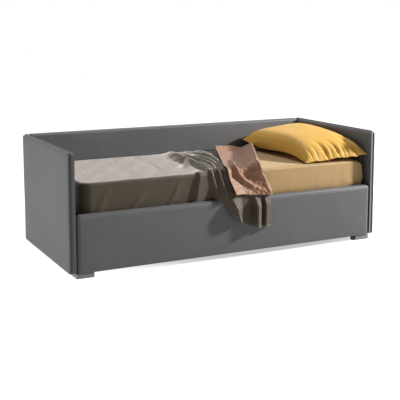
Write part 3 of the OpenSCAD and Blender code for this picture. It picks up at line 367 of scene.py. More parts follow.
for side, node, lean in ((-1, "left_cover", 0), (1, "right_cover", 2.5)):
    low, high = (Vector(c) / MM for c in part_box(node))
    depth, rise = high.y - low.y, high.z - low.z
    outer = low.x if side < 0 else high.x

    def place_side(u, v, w):
        """A side panel's point; the panel leans in by a little at its top."""
        inward = lean * max(0, v / rise) * max(0, 1 - w / LEAN_FADE)
        return (outer - side * (w + inward), low.y + u, low.z + v)

    cover = soft_board(f"{node}_leatherette", leatherette, (depth, rise), SIDE_RADII, side_edge_at,
                       place_side, SIDE_CROWNS, stuffed(6, 0.5))
    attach(cover, "base")
    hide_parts(node)


def long_edge_at(normal):
    """A long panel's edge: a broad roll on top and at its ends, and a plain fold below."""
    return mixed_edge(LONG_TOP_EDGE, LONG_FOOT_EDGE, eased(-normal[1]))


for node, radii, crowns in (("front_cover", FRONT_RADII, FRONT_CROWNS),
                            ("back_cover", BACK_RADII, BACK_CROWNS)):
    low, high = (Vector(c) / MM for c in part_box(node))
    length, rise, thick = high.x - low.x, high.z - low.z, high.y - low.y

    def place_long(u, v, w):
        """A long panel's point, with the edge's depth fitted to the panel's."""
        return (low.x + u, low.y + w * thick / LONG_THICK, low.z + v)

    cover = soft_board(f"{node}_leatherette", leatherette, (length, rise), radii, long_edge_at,
                       place_long, crowns, stuffed(8, 0.6))
    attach(cover, "base")
    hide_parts(node)

# Mattress
# A foam mattress in woven ticking, quilted in shallow channels, with a piped seam
# round the top and the bottom. The sheets hide it, and it shows between the slats.

MATTRESS_EDGE = [
    (0, 14), (0.5, 10), (2, 6.6), (4.2, 4), (7, 2.4), (10, 1.8), (12, 0.2), (15, 0.2), (18, 3), (40, 4.5),
    (90, 5), (140, 4.5), (162, 3), (165, 0.2), (168, 0.2), (171, 2.4), (176, 6), (180, 14),
]
MATTRESS_RADII, MATTRESS_CROWNS, MATTRESS_DEPTH = (58, 30, 30, 58), (3.5, 0), 180
# How much thinner than its CAD node the mattress is, to stay under the sheet, and how
# much longer, in mm
MATTRESS_THINNER, MATTRESS_LONGER = 5, 18
# How far the right end is drawn in, and how far its top falls away, each over a length,
# and the size and channels of the quilting, in mm
END_PULL, END_PULL_FADE = 34, 40
END_FALL, END_FALL_REACH = 40, 85
QUILTED_LENGTH, QUILTED_WIDTH, CHANNEL_STEP, CHANNEL_DEPTH = 1910, 794, 60, 2.5

# Knitted ticking: off-white polyester with a small diamond weave, soft and matt
ticking, tree = empty_tree("ticking_weave")
coords = add_node(tree, "ShaderNodeTexCoord").outputs["Object"]
diamonds = add_node(tree, "ShaderNodeTexWave", {"Vector": coords, "Scale": 60.0, "Distortion": 2.0},
                    bands_direction="DIAGONAL")
speckle = add_node(tree, "ShaderNodeTexNoise", {"Vector": coords, "Scale": 300.0, "Detail": 2.0})
tone = add_node(tree, "ShaderNodeMixRGB", {"Fac": speckle.outputs["Fac"], "Color1": linear("e2ded6"),
                                           "Color2": linear("f0ece4")})
weave_bump = add_node(tree, "ShaderNodeBump", {"Height": diamonds.outputs["Fac"], "Strength": 0.3,
                                               "Distance": 0.001})
knit = add_node(tree, "ShaderNodeBsdfPrincipled", {
    "Base Color": tone.outputs[0], "Roughness": 0.85, "Normal": weave_bump.outputs[0],
    "Sheen Weight": 0.2, "Sheen Roughness": 0.5})
add_node(tree, "ShaderNodeOutputMaterial", {"Surface": knit.outputs[0]})

mattress_low, mattress_high = (Vector(c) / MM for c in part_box("mattress"))
mattress_thick = mattress_high.z - mattress_low.z - MATTRESS_THINNER
mattress_size = (mattress_high.x - mattress_low.x + MATTRESS_LONGER, mattress_high.y - mattress_low.y)


def place_mattress(u, v, w):
    """A point of the mattress, with w measured down from its top."""
    return (mattress_low.x + u, mattress_low.y + v,
            mattress_low.z + mattress_thick * (1 - w / MATTRESS_DEPTH))


def mattress_edge_at(normal):
    """The mattress's edge, drawn in further at the right end, under the sheet's round end."""
    pull = END_PULL * eased(normal[0])
    return [(down, inset + pull * max(0, 1 - min(down, MATTRESS_DEPTH - down) / END_PULL_FADE) ** 2)
            for down, inset in MATTRESS_EDGE]


def round_end(u, w, length):
    """How far the soft top falls away towards the right end, at depth w below the top."""
    near = np.clip((u - length + END_FALL_REACH) / END_FALL_REACH, 0, 1)
    return END_FALL * near ** 2.2 * (1 - np.clip(w, 0, MATTRESS_DEPTH) / MATTRESS_DEPTH)


def quilt(points):
    """Sewn channels in the top and the underside, and the round right end."""
    u, v, w = points.T
    rim = np.minimum(np.minimum(u, QUILTED_LENGTH - u), np.minimum(v, QUILTED_WIDTH - v))
    channel = CHANNEL_DEPTH * (np.abs(np.sin(np.pi * u / CHANNEL_STEP)) ** 0.5 - 1)
    channel *= np.clip(rim / CHANNEL_STEP, 0, 1)
    facing = np.where(w < 2, 1, 0) - np.where(w > MATTRESS_DEPTH - 2, 1, 0)
    points[:, 2] = w - channel * facing + round_end(u, w, mattress_size[0])
    return points


mattress_body = soft_board("mattress_ticking", ticking, mattress_size, MATTRESS_RADII, mattress_edge_at,
                           place_mattress, MATTRESS_CROWNS, quilt, cell=20)
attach(mattress_body, "platform")
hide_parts("mattress")

# Fitted sheet
# Ochre cotton sateen, cut with four sewn corners and an elastic hem that grips the
# mattress below. The stretch gathers it at the corners and leaves soft waves between.

SHEET_END_EDGE = [
    (0, 78), (1, 60), (3, 48), (6.5, 36), (11, 27), (17, 18.5), (25, 11.5), (36, 6), (50, 2.5),
    (75, 0), (100, 0.4), (120, 2), (138, 5.5), (152, 11), (164, 18), (172, 25), (177, 33), (179, 42),
]
SHEET_EDGE = [
    (0, 13), (0.4, 9.6), (1.7, 6.5), (3.8, 3.8), (6.5, 1.7), (9.6, 0.4), (13, 0), (22, 0), (45, 0),
    (75, 0), (100, 0), (120, 0.2), (138, 0.6), (152, 1.4), (164, 3.4), (172, 7), (177, 13), (179, 20),
]
SHEET_RADII, SHEET_CROWNS, SHEET_DEPTH = (59, 30, 30, 59), (4.6, 0), 179
# The sheet's top and hem, how far it stands out from its CAD node at the left and in
# front, and how much longer and wider it is, in mm
SHEET_TOP, SHEET_HEM = 515.6, 335.5
SHEET_OUT, SHEET_LONGER, SHEET_WIDER = 1, 23, 2


def woven_cotton(name, colours, clouds, rumple, finish):
    """Cotton cloth, matt and a little uneven. Real threads are 0.2 mm apart; these are
    drawn 1.6 mm apart. clouds holds the settings of the unevenness, rumple the strength
    and height of its bump, and finish the surface's other inputs."""
    material, tree = empty_tree(name)
    coords = add_node(tree, "ShaderNodeTexCoord").outputs["Object"]
    warp, weft = (add_node(tree, "ShaderNodeTexWave", {"Vector": coords, "Scale": 200.0, "Distortion": 0.4},
                           bands_direction=way).outputs["Fac"] for way in ("X", "Y"))
    threads = add_node(tree, "ShaderNodeMath", {0: warp, 1: weft}, operation="MULTIPLY")
    uneven = add_node(tree, "ShaderNodeTexNoise", {"Vector": coords, **clouds}).outputs["Fac"]
    tone = add_node(tree, "ShaderNodeMixRGB", {"Fac": uneven, "Color1": linear(colours[0]),
                                               "Color2": linear(colours[1])})
    fine = add_node(tree, "ShaderNodeBump", {"Height": threads.outputs[0], "Strength": 0.12,
                                             "Distance": 0.0004})
    bump = add_node(tree, "ShaderNodeBump", {"Height": uneven, "Strength": rumple[0], "Distance": rumple[1],
                                             "Normal": fine.outputs[0]})
    surface = add_node(tree, "ShaderNodeBsdfPrincipled", {
        "Base Color": tone.outputs[0], "Normal": bump.outputs[0], **finish})
    add_node(tree, "ShaderNodeOutputMaterial", {"Surface": surface.outputs[0]})
    return material


# Cotton sateen: smooth, with a faint sheen
ochre = woven_cotton("ochre_sateen", ("a68656", "b29260"), {"Scale": 9.0, "Detail": 4.0}, (0.25, 0.006), {
    "Roughness": 0.62, "Sheen Weight": 0.45, "Sheen Roughness": 0.4, "Sheen Tint": linear("fff2d0")})

sheet_low, sheet_high = (Vector(c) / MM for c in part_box("fitted_sheet"))
sheet_size = (sheet_high.x - sheet_low.x + SHEET_LONGER, sheet_high.y - sheet_low.y + SHEET_WIDER)


def place_sheet(u, v, w):
    """A point of the sheet, with w measured down from its top."""
    return (sheet_low.x - SHEET_OUT + u, sheet_low.y - SHEET_OUT + v,
            SHEET_TOP - w * (SHEET_TOP - SHEET_HEM) / SHEET_DEPTH)


def sheet_edge_at(normal):
    """The sheet's edge: a plain turn along the sides, and a full round end at the right."""
    return mixed_edge(SHEET_EDGE, SHEET_END_EDGE, eased(normal[0]) ** 2)


# Pleats fade over PLEAT_FADE from each end, in mm. Those at the right end spread like a
# fan from a point beyond the end and under the hem
PLEAT_FADE, FAN_OUT, FAN_DOWN, FAN_PLEATS = 70, 25, 205, 17


def gather_sheet(points):
    """Soft waves along the front side, a fan of pleats from the low right corner, small
    pleats at the left end, short gathers on top of the corners, and the round right end."""
    u, v, w = points[:, 0], points[:, 1], points[:, 2]
    to_end = sheet_size[0] - u
    right, left = np.exp(-np.maximum(to_end, 0) / PLEAT_FADE), np.exp(-np.maximum(u, 0) / PLEAT_FADE)
    front = np.exp(-v / 60)
    waves = 1.4 * np.sin(u / 23 + 2 * np.sin(u / 90)) + 0.9 * np.sin(u / 11)
    fan = np.arctan2(to_end + FAN_OUT, np.maximum(FAN_DOWN - w, 10))
    pleats = 9 * np.sin(FAN_PLEATS * fan + 1.5 * np.sin(w / 30)) * right * np.clip(w / 130, 0, 1)
    pleats += 4.2 * np.sin(u / 5.5 + w / 13) * left ** 2
    moved = np.clip(w / 30, 0, 1) * (0.35 * waves * np.clip(w / 120, 0.2, 1) + pleats * front)
    points[:, 1] += np.where(v < 40, moved, 0)
    points[:, 2] -= np.where(w < 3, 2.2 * np.maximum(right, left) * front * np.sin(u / 7), 0)
    points[:, 2] += round_end(u, w, sheet_size[0])
    return points


fitted = soft_board("fitted_sheet_cotton", ochre, sheet_size, SHEET_RADII, sheet_edge_at,
                    place_sheet, SHEET_CROWNS, gather_sheet, cell=20, closed=False)
apply_modifier(fitted, "SOLIDIFY", thickness=0.0009, offset=-1)
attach(fitted, "platform")
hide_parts("fitted_sheet")

# Coverlet
# Taupe satin, thrown over the left part of the bed. It is tucked in behind the front
# panel, then comes out over the panel and hangs down its face in deep folds.

# The cloth's top, the planes of its sides, and the place of its front when it hangs
COVER_Z = 522.1
SIDE_X, TUCK_Y, REAR_Y, HANG_Y = -950.0, -405.8, 395.8, -460.5
CORNER_R, EDGE_R = 62.0, 15.0
CORNER_X, CORNER_FRONT, CORNER_REAR = SIDE_X + CORNER_R, TUCK_Y + CORNER_R, REAR_Y - CORNER_R
TURN_START = CORNER_R - EDGE_R
TURN_END = TURN_START + EDGE_R * math.pi / 2
FLAT_TO_EDGE = TURN_END + COVER_Z - EDGE_R
# Heights of the hem: tucked in, on the panel's ledge, in the first lobe and at its lowest
TUCK_Z, LEDGE_Z, LOBE_Z, DEEP_Z = 348, 366, 222, 182
# Where the hem comes out of the tuck, hangs freely, and ends its two lobes, in x
OUT_X, FREE_X, LOBE_X, DEEP_X = (-200, -165), -135, 20, 130
# The right border in front and at the rear, and half the width of the flat top; then
# the height of the left hem, and how far the cloth goes down at the rear
COVER_FRONT_X, COVER_REAR_X, HALF_TOP = 235, 400, 368
SIDE_HEM_Z, REAR_DROP = 345, 95
# Stretches of the run: the rear edge's turn, and where hanging folds take over
REAR_TURN, HANG_FROM = (-395, -360), (530, 620)

# Folds, each as a line of (x, run, height) points and the widths of its left and right
# slopes, in mm. The run is measured from the middle of the top to the front and down.
# Crests are rounded a little
CREST_ROUND = 3
COVER_FOLDS = [
    ([(-10, -390, 8), (-32, -264, 17), (-60, -42, 20), (-97, 172, 22), (-119, 324, 23), (-146, 395, 20),
      (-139, 425, 18), (-127, 462, 17), (-112, 533, 15), (-100, 600, 6)], 34, 20),
    ([(30, -380, 8), (10, -200, 14), (-8, 0, 20), (-11, 87, 21), (-28, 207, 22), (-75, 330, 22),
      (-99, 392, 22), (-87, 426, 21), (-79, 463, 21), (-74, 518, 17), (-65, 580, 6)], 30, 16),
    ([(60, -390, 8), (95, -270, 18), (116, -160, 24), (104, -50, 25), (58, 122, 25), (5, 280, 23),
      (-50, 395, 22), (-31, 467, 20), (-4, 542, 14)], 48, 20),
    ([(-30, 20, 3), (-40, 102, 13), (-71, 256, 14), (-118, 385, 12), (-112, 430, 4)], 18, 10),
    ([(60, -250, 4), (50, -120, 15), (52, 20, 17), (20, 150, 15), (-10, 240, 4)], 24, 12),
    ([(150, -390, 10), (170, -250, 14), (160, -120, 10)], 30, 16),
    ([(-50, -390, 12), (-54, -321, 22), (-77, -164, 33), (-95, -30, 34)], 84, 20),
    ([(-95, -30, 34), (-108, -10, 24), (-145, 60, 15), (-190, 130, 7), (-233, 216, 1)], 30, 34),
    ([(-156, -390, 3), (-166, -120, 5), (-176, 82, 4)], 18, 8),
    ([(-205, 340, 2), (-220, 395, 12), (-226, 440, 17), (-238, 500, 20), (-250, 570, 20)], 24, 118),
    ([(-330, -390, 2), (-350, 40, 3), (-420, 330, 1)], 70, 30),
    ([(-640, -390, 1), (-570, 120, 2.5), (-600, 380, 1)], 90, 40),
    ([(-330, 420, 0), (-370, 480, 5), (-420, 570, 5)], 20, 30),
    ([(-560, 450, 0), (-600, 500, 3), (-650, 570, 4)], 24, 34),
    ([(-800, 440, 2), (-850, 560, 4)], 24, 30),
]

# Lines of the hanging folds, as their x at the ledge and at the hem, and how far each
# line stands out from the panel, in mm
HANG_LINE_TOP = (-200, -150, -75, -35, 2, 42, 94, 124, 152, 170, 192, 224, 238)
HANG_LINE_LOW = (-200, -110, -34, 4, 24, 40, 92, 123, 150, 168, 190, 226, 240)
HANG_DEPTH = (0, 0, 3, 58, 38, 3, 1, 54, 42, 2, 34, 24, 3)


def fold_height(x, run, folds):
    """Height at points of sharp-crested folds that run along lines."""
    total = np.zeros(x.shape)
    for line, left, right in folds:
        best = np.full(x.shape, 1e9)
        crest = np.zeros(x.shape)
        sign = np.ones(x.shape)
        for (ax, at, ah), (bx, bt, bh) in zip(line[:-1], line[1:]):
            dx, dt = bx - ax, bt - at
            share = np.clip(((x - ax) * dx + (run - at) * dt) / (dx * dx + dt * dt), 0, 1)
            away = np.hypot(x - ax - dx * share, run - at - dt * share)
            nearer = away < best
            best = np.where(nearer, away, best)
            crest = np.where(nearer, ah + (bh - ah) * share, crest)
            sign = np.where(nearer, np.sign((run - at) * dx - (x - ax) * dt), sign)
        width = np.where(sign > 0, left, right)
        away = np.hypot(best, CREST_ROUND) - CREST_ROUND
        total += (crest * np.clip(1 - away / width, 0, 1) ** 1.3) ** 3
    return np.cbrt(total)


def hang_fold(x, down):
    """How far the hanging folds stand out at x and at a share of the way down."""
    nodes = np.array(HANG_LINE_TOP) * (1 - down[..., None]) + np.array(HANG_LINE_LOW) * down[..., None]
    out = np.zeros(x.shape)
    for k, (near, far) in enumerate(zip(HANG_DEPTH[:-1], HANG_DEPTH[1:])):
        a, b = nodes[..., k], nodes[..., k + 1]
        t = (x - a) / (b - a)
        out = np.where((x >= a) & (x < b), near + (far - near) * (np.clip(t, 0, 1) + eased(t)) / 2, out)
    return np.where(x >= nodes[..., -1], HANG_DEPTH[-1], out)


def hem_height(x):
    """How low the coverlet's front hem is at x."""
    tucked = TUCK_Z + (LEDGE_Z - TUCK_Z) * eased(x, *OUT_X)
    lobe = LEDGE_Z + (LOBE_Z - LEDGE_Z) * np.clip((x - FREE_X) / (LOBE_X - FREE_X), 0, 1)
    deep = LOBE_Z + (DEEP_Z - LOBE_Z) * eased(x, LOBE_X, DEEP_X)
    return float(np.where(x < FREE_X, tucked, np.where(x < LOBE_X, lobe, deep)))


def drape(x, run, lift, hanging):
    """Points of cloth on the mattress. x and run are the place on the flat cloth, which
    turns down at the left, front and rear edges; lift is along the normal, and hanging,
    from 0 to 1, brings the front drop forward over the front panel."""
    over_x = np.maximum(0, CORNER_X - x)
    over_y = run - np.clip(run, -CORNER_REAR, -CORNER_FRONT)
    reach = np.hypot(over_x, over_y)
    angle = np.clip((reach - TURN_START) / EDGE_R, 0, math.pi / 2)
    out = np.minimum(reach, TURN_START) + (EDGE_R + lift) * np.sin(angle)
    z = COVER_Z - EDGE_R + (EDGE_R + lift) * np.cos(angle) - np.maximum(reach - TURN_END, 0)
    safe = np.maximum(reach, 1e-6)
    forward = hanging * (HANG_Y - TUCK_Y) * eased(z, COVER_Z - EDGE_R, LEDGE_Z) * (over_y > 0)
    return np.stack([np.maximum(x, CORNER_X) - over_x / safe * out,
                     np.clip(-run, CORNER_FRONT, CORNER_REAR) - over_y / safe * out + forward, z], axis=-1)


def grid_piece(name, points, material, thick):
    """A sheet from a grid of points in mm, with a UV map in metres along its two sides."""
    nx, ny = points.shape[:2]
    faces = grid_faces(np.arange(nx * ny).reshape(nx, ny))
    piece = mesh_piece(name, points.reshape(-1, 3) * MM, faces, material)
    across = np.linalg.norm(np.diff(points, axis=0), axis=2).mean(axis=1)
    along = np.linalg.norm(np.diff(points, axis=1), axis=2).mean(axis=0)
    u = np.concatenate([[0], np.cumsum(across)]) * MM
    v = np.concatenate([[0], np.cumsum(along)]) * MM
    layer = piece.data.uv_layers.new(name="cloth")
    corner = np.array([loop.vertex_index for loop in piece.data.loops])
    layer.data.foreach_set("uv", np.column_stack([u[corner // ny], v[corner % ny]]).ravel())
    apply_modifier(piece, "SOLIDIFY", thickness=thick * MM, offset=0)
    return piece


def satin(name, colours, sheen_colour, rough, gloss, sheen, sheen_rough, crinkle):
    """Woven polyester satin: long smooth floats, a broad gloss, and a bright sheen at a
    low angle. The floats are drawn 1.2 mm apart, and fine slubs run along them."""
    material, tree = empty_tree(name)
    cloth = add_node(tree, "ShaderNodeUVMap", uv_map="cloth").outputs[0]
    slub_map = add_node(tree, "ShaderNodeMapping", {"Vector": cloth, "Scale": (12.0, 260.0, 1.0)})
    slubs = add_node(tree, "ShaderNodeTexNoise", {"Vector": slub_map.outputs[0], "Scale": 1.0, "Detail": 3.0})
    floats = add_node(tree, "ShaderNodeTexWave", {"Vector": cloth, "Scale": 260.0, "Distortion": 0.6},
                      bands_direction="Y")
    thread = add_node(tree, "ShaderNodeMath", {0: slubs.outputs["Fac"], 1: floats.outputs["Fac"]},
                      operation="ADD")
    streak_map = add_node(tree, "ShaderNodeMapping", {"Vector": cloth, "Scale": (3.0, 34.0, 1.0)})
    streaks = add_node(tree, "ShaderNodeTexNoise", {"Vector": streak_map.outputs[0], "Scale": 1.0,
                                                    "Detail": 5.0, "Roughness": 0.6}).outputs["Fac"]
    tone = add_node(tree, "ShaderNodeMixRGB", {"Fac": streaks, "Color1": linear(colours[0]),
                                               "Color2": linear(colours[1])})
    creases = add_node(tree, "ShaderNodeTexNoise", {"Vector": cloth, "Scale": 26.0, "Detail": 3.0,
                                                    "Distortion": 1.2})
    fine = add_node(tree, "ShaderNodeBump", {"Height": thread.outputs[0], "Strength": 0.15,
                                             "Distance": 0.0004})
    soft = add_node(tree, "ShaderNodeBump", {"Height": streaks, "Strength": 0.3, "Distance": 0.004,
                                             "Normal": fine.outputs[0]})
    worn = add_node(tree, "ShaderNodeBump", {"Height": creases.outputs["Fac"], "Strength": crinkle,
                                             "Distance": 0.02, "Normal": soft.outputs[0]})
    surface = add_node(tree, "ShaderNodeBsdfPrincipled", {
        "Base Color": tone.outputs[0], "Roughness": rough, "Specular IOR Level": gloss,
        "Normal": worn.outputs[0], "Sheen Weight": sheen, "Sheen Roughness": sheen_rough,
        "Sheen Tint": linear(sheen_colour)})
    add_node(tree, "ShaderNodeOutputMaterial", {"Surface": surface.outputs[0]})
    return material


taupe_satin = satin("taupe_satin", ("3b3223", "473c2b"), "f2e8e4", 0.6, 0.3, 1.0, 0.41, 0.12)

COVER_COLUMNS, COVER_ROWS = 265, 165
left_x = CORNER_X - (FLAT_TO_EDGE - SIDE_HEM_Z)
# The first third of the columns, where the cloth is plain, takes more than half its length
columns = np.interp(np.linspace(0, 1, COVER_COLUMNS), (0, 0.34, 1), (0, 0.61, 1))
front_xs = left_x + (COVER_FRONT_X - left_x) * columns
rear_xs = left_x + (COVER_REAR_X - left_x) * columns
cover_grid = np.zeros((COVER_COLUMNS, COVER_ROWS, 3))
for i, (front_x, rear_x) in enumerate(zip(front_xs, rear_xs)):
    over = max(0.0, CORNER_X - front_x)
    front_reach = math.sqrt(max((FLAT_TO_EDGE - hem_height(front_x)) ** 2 - over ** 2, 4))
    rear_reach = math.sqrt(max((TURN_END + REAR_DROP) ** 2 - over ** 2, 4))
    runs = np.linspace(-CORNER_REAR - rear_reach, -CORNER_FRONT + front_reach, COVER_ROWS)
    slant = np.clip((runs + HALF_TOP) / (2 * HALF_TOP), 0, 1)
    xs = rear_x + (front_x - rear_x) * slant
    # The right border is drawn in at the front edge, to stay under the turned back sheet
    xs -= 40 * eased(front_x, 90, COVER_FRONT_X) * np.exp(-((runs - 390) / 90) ** 2)
    hanging = eased(front_x, -155, -60)
    down = np.clip((runs - 560) / 150, 0, 1)
    lift = fold_height(xs, runs, COVER_FOLDS)
    # Folds flatten where the turned back sheet lies on them
    lift *= 1 - 0.8 * eased(xs - (298 - 296 * slant), -40, 10)
    lift += 0.7 + 0.7 * np.sin(xs / 31 + runs / 83) * np.sin(runs / 57 + xs / 140)
    lift *= eased(runs, *REAR_TURN)
    hung = hanging * eased(runs, *HANG_FROM)
    lift = lift * (1 - hung) + hung * hang_fold(np.full(runs.shape, front_x), down)
    cover_grid[i] = drape(xs, runs, lift, hanging)
coverlet = grid_piece("coverlet_satin", cover_grid, taupe_satin, 1.4)
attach(coverlet, "platform")
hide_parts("coverlet")

# Turned back sheet
# The end of the upper sheet, dusty pink satin, folded back over the coverlet in a
# slanting band and hanging with it over the front panel.

pink_satin = satin("pink_satin", ("8e654b", "a2795d"), "fff2ec", 0.5, 0.35, 0.6, 0.36, 0.35)
TURN_COLUMNS, TURN_ROWS = 80, 150
BAND_HEM_Z, BAND_SLANT_RUN = 393, 750
TURN_FOLDS = [
    ([(150, 110, 12), (128, 159, 22), (92, 264, 30), (48, 350, 36), (14, 395, 40), (35, 418, 38),
      (68, 452, 30), (116, 487, 24), (167, 513, 14), (205, 523, 5)], 34, 10),
    ([(580, -380, 16), (552, -320, 36), (498, -216, 60), (331, 102, 70), (212, 336, 60), (174, 396, 50),
      (196, 436, 42), (214, 473, 34), (222, 531, 22)], 90, 24),
    ([(297, -368, 8), (250, -259, 20), (125, 6, 26), (9, 270, 26), (-45, 390, 28), (-46, 448, 36),
      (-35, 487, 40), (-22, 530, 38)], 60, 80),
    ([(400, -376, 4), (430, -335, 18), (470, -330, 14)], 22, 34),
    ([(450, -250, 4), (485, -200, 42)], 20, 30),
    ([(290, 40, 6), (345, 90, 42)], 14, 16),
    ([(215, 220, 4), (262, 270, 38)], 14, 14),
    ([(340, -60, 6), (415, -20, 44)], 14, 16),
    ([(430, -180, 8), (480, -140, 38)], 14, 18),
    ([(140, 330, 3), (200, 352, 30)], 12, 14),
    ([(120, 440, 3), (185, 448, 26)], 10, 12),
    ([(150, 470, 3), (208, 490, 22)], 10, 12),
]
turn_grid = np.zeros((TURN_COLUMNS, TURN_ROWS, 3))
for i, u in enumerate(np.linspace(0, 1, TURN_COLUMNS)):
    low_z = BAND_HEM_Z - 27 * u + 3 * math.sin(9 * u)
    runs = np.linspace(-HALF_TOP, -CORNER_FRONT + FLAT_TO_EDGE - low_z, TURN_ROWS)
    slant = np.clip((runs + HALF_TOP) / BAND_SLANT_RUN, 0, 1)
    down = np.clip((runs - 400) / (runs[-1] - 400), 0, 1)
    x_rear, x_front, x_low = 296 + 300 * u, -44 + 248 * u, -26 + 266 * u
    xs = x_rear + (x_front - x_rear) * slant + (x_low - x_front) * down
    xs += u ** 4 * (7 * np.sin(runs / 37) + 4 * np.sin(runs / 15 + 1))
    lift = 4.2 + 12 * down ** 2 + fold_height(xs, runs, TURN_FOLDS)
    # The left border stands up at the rear, and the right border waves
    lift += 22 * (1 - eased(u, 0.3, 0.62)) * (1 - eased(runs, -HALF_TOP, -250))
    lift += 2 * np.sin(runs / 13 + 4 * u + 2 * np.sin(runs / 61)) * math.exp(-(1 - u) * 9)
    crumple = np.sin(xs / 7 + 2 * np.sin(runs / 19)) * np.sin(runs / 9 + 1.5 * np.sin(xs / 13))
    lift += 2.4 * crumple * (0.25 + 0.75 * eased(u, 0.3, 0.6))
    turn_grid[i] = drape(xs, runs, lift, 1.0)
turned_sheet = grid_piece("turned_back_satin", turn_grid, pink_satin, 1.6)
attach(turned_sheet, "platform")
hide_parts("turned_back_sheet")

# Pillow
# A feather pillow in a golden cotton case with a flat flange all round. It lies
# askew on the bed and leans on the back panel.

# Cotton percale: plain weave, matt
gold = woven_cotton("gold_percale", ("c99838", "d2a344"), {"Scale": 14.0, "Detail": 5.0, "Roughness": 0.6},
                    (0.3, 0.008), {"Roughness": 0.6, "Specular IOR Level": 0.4, "Sheen Weight": 0.12,
                                   "Sheen Roughness": 0.5, "Sheen Tint": linear("fff0c8")})

PILLOW_FRONT_LEFT = np.array((548.0, -383.0, 525.0))
PILLOW_FRONT_RIGHT = np.array((986.0, -436.0, 559.0))
PILLOW_REAR_LEFT = np.array((524.0, 389.0, 587.0))
PILLOW_REAR_RIGHT = np.array((994.0, 389.0, 625.0))
PILLOW_LOFT, PILLOW_SKIN, PILLOW_FLOOR = 111.0, 1.0, 521.2
# How far the sides bow in between the corners, how far the left side sags at the rear and
# rises in front, and how deep the underside hangs, in mm
PILLOW_BOW, PILLOW_SAG, PILLOW_BELLY = 12, 17, 60
PILLOW_CELLS_A, PILLOW_CELLS_B = 150, 190
# Gathers where the case is sewn to its front edge and left edge, each as (place on the
# edge, place at its upper end, depth in mm, width, length of the gather)
FRONT_GATHERS = [
    (-0.93, -0.95, 4, 0.03, 0.3), (-0.74, -0.84, 6, 0.03, 0.24), (-0.55, -0.62, 8, 0.035, 0.22),
    (-0.25, -0.38, 19, 0.06, 0.36), (-0.08, -0.13, 7, 0.03, 0.2), (0.13, 0.0, 17, 0.05, 0.32),
    (0.30, 0.27, 7, 0.03, 0.18), (0.42, 0.36, 9, 0.035, 0.22), (0.68, 0.52, 26, 0.085, 0.46),
    (0.90, 0.86, 7, 0.04, 0.25),
]
LEFT_GATHERS = [
    (-0.6, -0.5, 2.5, 0.06, 0.8), (0.3, 0.34, 2.5, 0.025, 1.0), (0.44, 0.5, 2, 0.03, 0.9),
    (0.8, 0.7, 3, 0.05, 0.8),
]


def gathered(across, inward, gathers):
    """Depth of gathers at places along an edge and inward from it."""
    total = np.zeros(across.shape)
    for start, end, depth, wide, reach in gathers:
        share = np.clip(inward / reach, 0, 1)
        middle = start + (end - start) * share
        from_middle = np.abs((across - middle) / (wide * (0.6 + share)))
        total += depth * np.exp(-from_middle ** 1.7) * (1 - share) ** 0.8
    return total


def pillow_half(upper):
    """Points of one side of the pillow: a filled bulge that fades into the case's seams.
    a runs from -1 to 1 from left to right, and b from front to rear."""
    a, b = np.meshgrid(np.sin(np.linspace(-1, 1, PILLOW_CELLS_A) * math.pi / 2),
                       np.sin(np.linspace(-1, 1, PILLOW_CELLS_B) * math.pi / 2), indexing="ij")
    share_a, share_b = (a[..., None] + 1) / 2, (b[..., None] + 1) / 2
    front = PILLOW_FRONT_LEFT + (PILLOW_FRONT_RIGHT - PILLOW_FRONT_LEFT) * share_a
    rear = PILLOW_REAR_LEFT + (PILLOW_REAR_RIGHT - PILLOW_REAR_LEFT) * share_a
    points = front + (rear - front) * share_b
    points[..., 0] -= np.sign(a) * PILLOW_BOW * (1 - b * b) * np.abs(a) ** 3
    points[..., 1] -= np.sign(b) * PILLOW_BOW * (1 - a * a) * np.abs(b) ** 3
    points[..., 2] -= PILLOW_SAG * np.sin(math.pi * b) * (1 - share_a[..., 0]) ** 1.5
    filled = (1 - np.abs(a) ** 4.17) ** 0.337 * (1 - np.abs(b) ** 2.16) ** 0.349
    # The flanges stay flat, and the left one is wider towards the rear
    flange = 0.05 + 0.07 * np.clip(b, 0, 1) ** 2 * (a < 0)
    filled *= 1 - 0.85 * np.exp(-(1 - np.abs(a)) / flange)
    filled *= 1 - 0.8 * np.exp(-(1 - np.abs(b)) / 0.045)
    inward_front, inward_left = b + 1, a + 1
    creases = gathered(a, inward_front, FRONT_GATHERS) * np.clip(inward_front / 0.05, 0.35, 1)
    creases *= 1 - a ** 6
    creases += gathered(b, inward_left, LEFT_GATHERS) * np.clip(inward_left / 0.08, 0, 1)
    hem = 3.2 * np.sin(a * 7.5 + 1.2) + 1.8 * np.sin(a * 17)
    hem *= np.exp(-inward_front / 0.12) * (1 - a ** 4)
    if upper:
        points[..., 2] += PILLOW_SKIN + PILLOW_LOFT * filled - creases + hem
        points[..., 1] += 0.5 * creases * np.exp(-inward_front / 0.5)
    else:
        points[..., 2] += hem - PILLOW_SKIN - PILLOW_BELLY * ((1 - a * a) * (1 - b ** 4)) ** 1.5
        points[..., 2] = np.maximum(points[..., 2], PILLOW_FLOOR)
    return points


def closed_case(upper, lower):
    """Points and faces of the two halves, joined round their rim."""
    n, m = upper.shape[:2]
    index = np.arange(n * m).reshape(n, m)
    below = index.copy()
    below[1:-1, 1:-1] = n * m + np.arange((n - 2) * (m - 2)).reshape(n - 2, m - 2)
    faces = grid_faces(index) + [face[:1] + face[:0:-1] for face in grid_faces(below)]
    return np.concatenate([upper.reshape(-1, 3), lower[1:-1, 1:-1].reshape(-1, 3)]), faces


pillow_top, pillow_base = pillow_half(True), pillow_half(False)
pillow_base[..., 2] = np.minimum(pillow_base[..., 2], pillow_top[..., 2] - 2 * PILLOW_SKIN)
case_points, case_faces = closed_case(pillow_top, pillow_base)
pillow = mesh_piece("pillow_cotton", case_points * MM, case_faces, gold)
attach(pillow, "platform")
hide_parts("pillow")

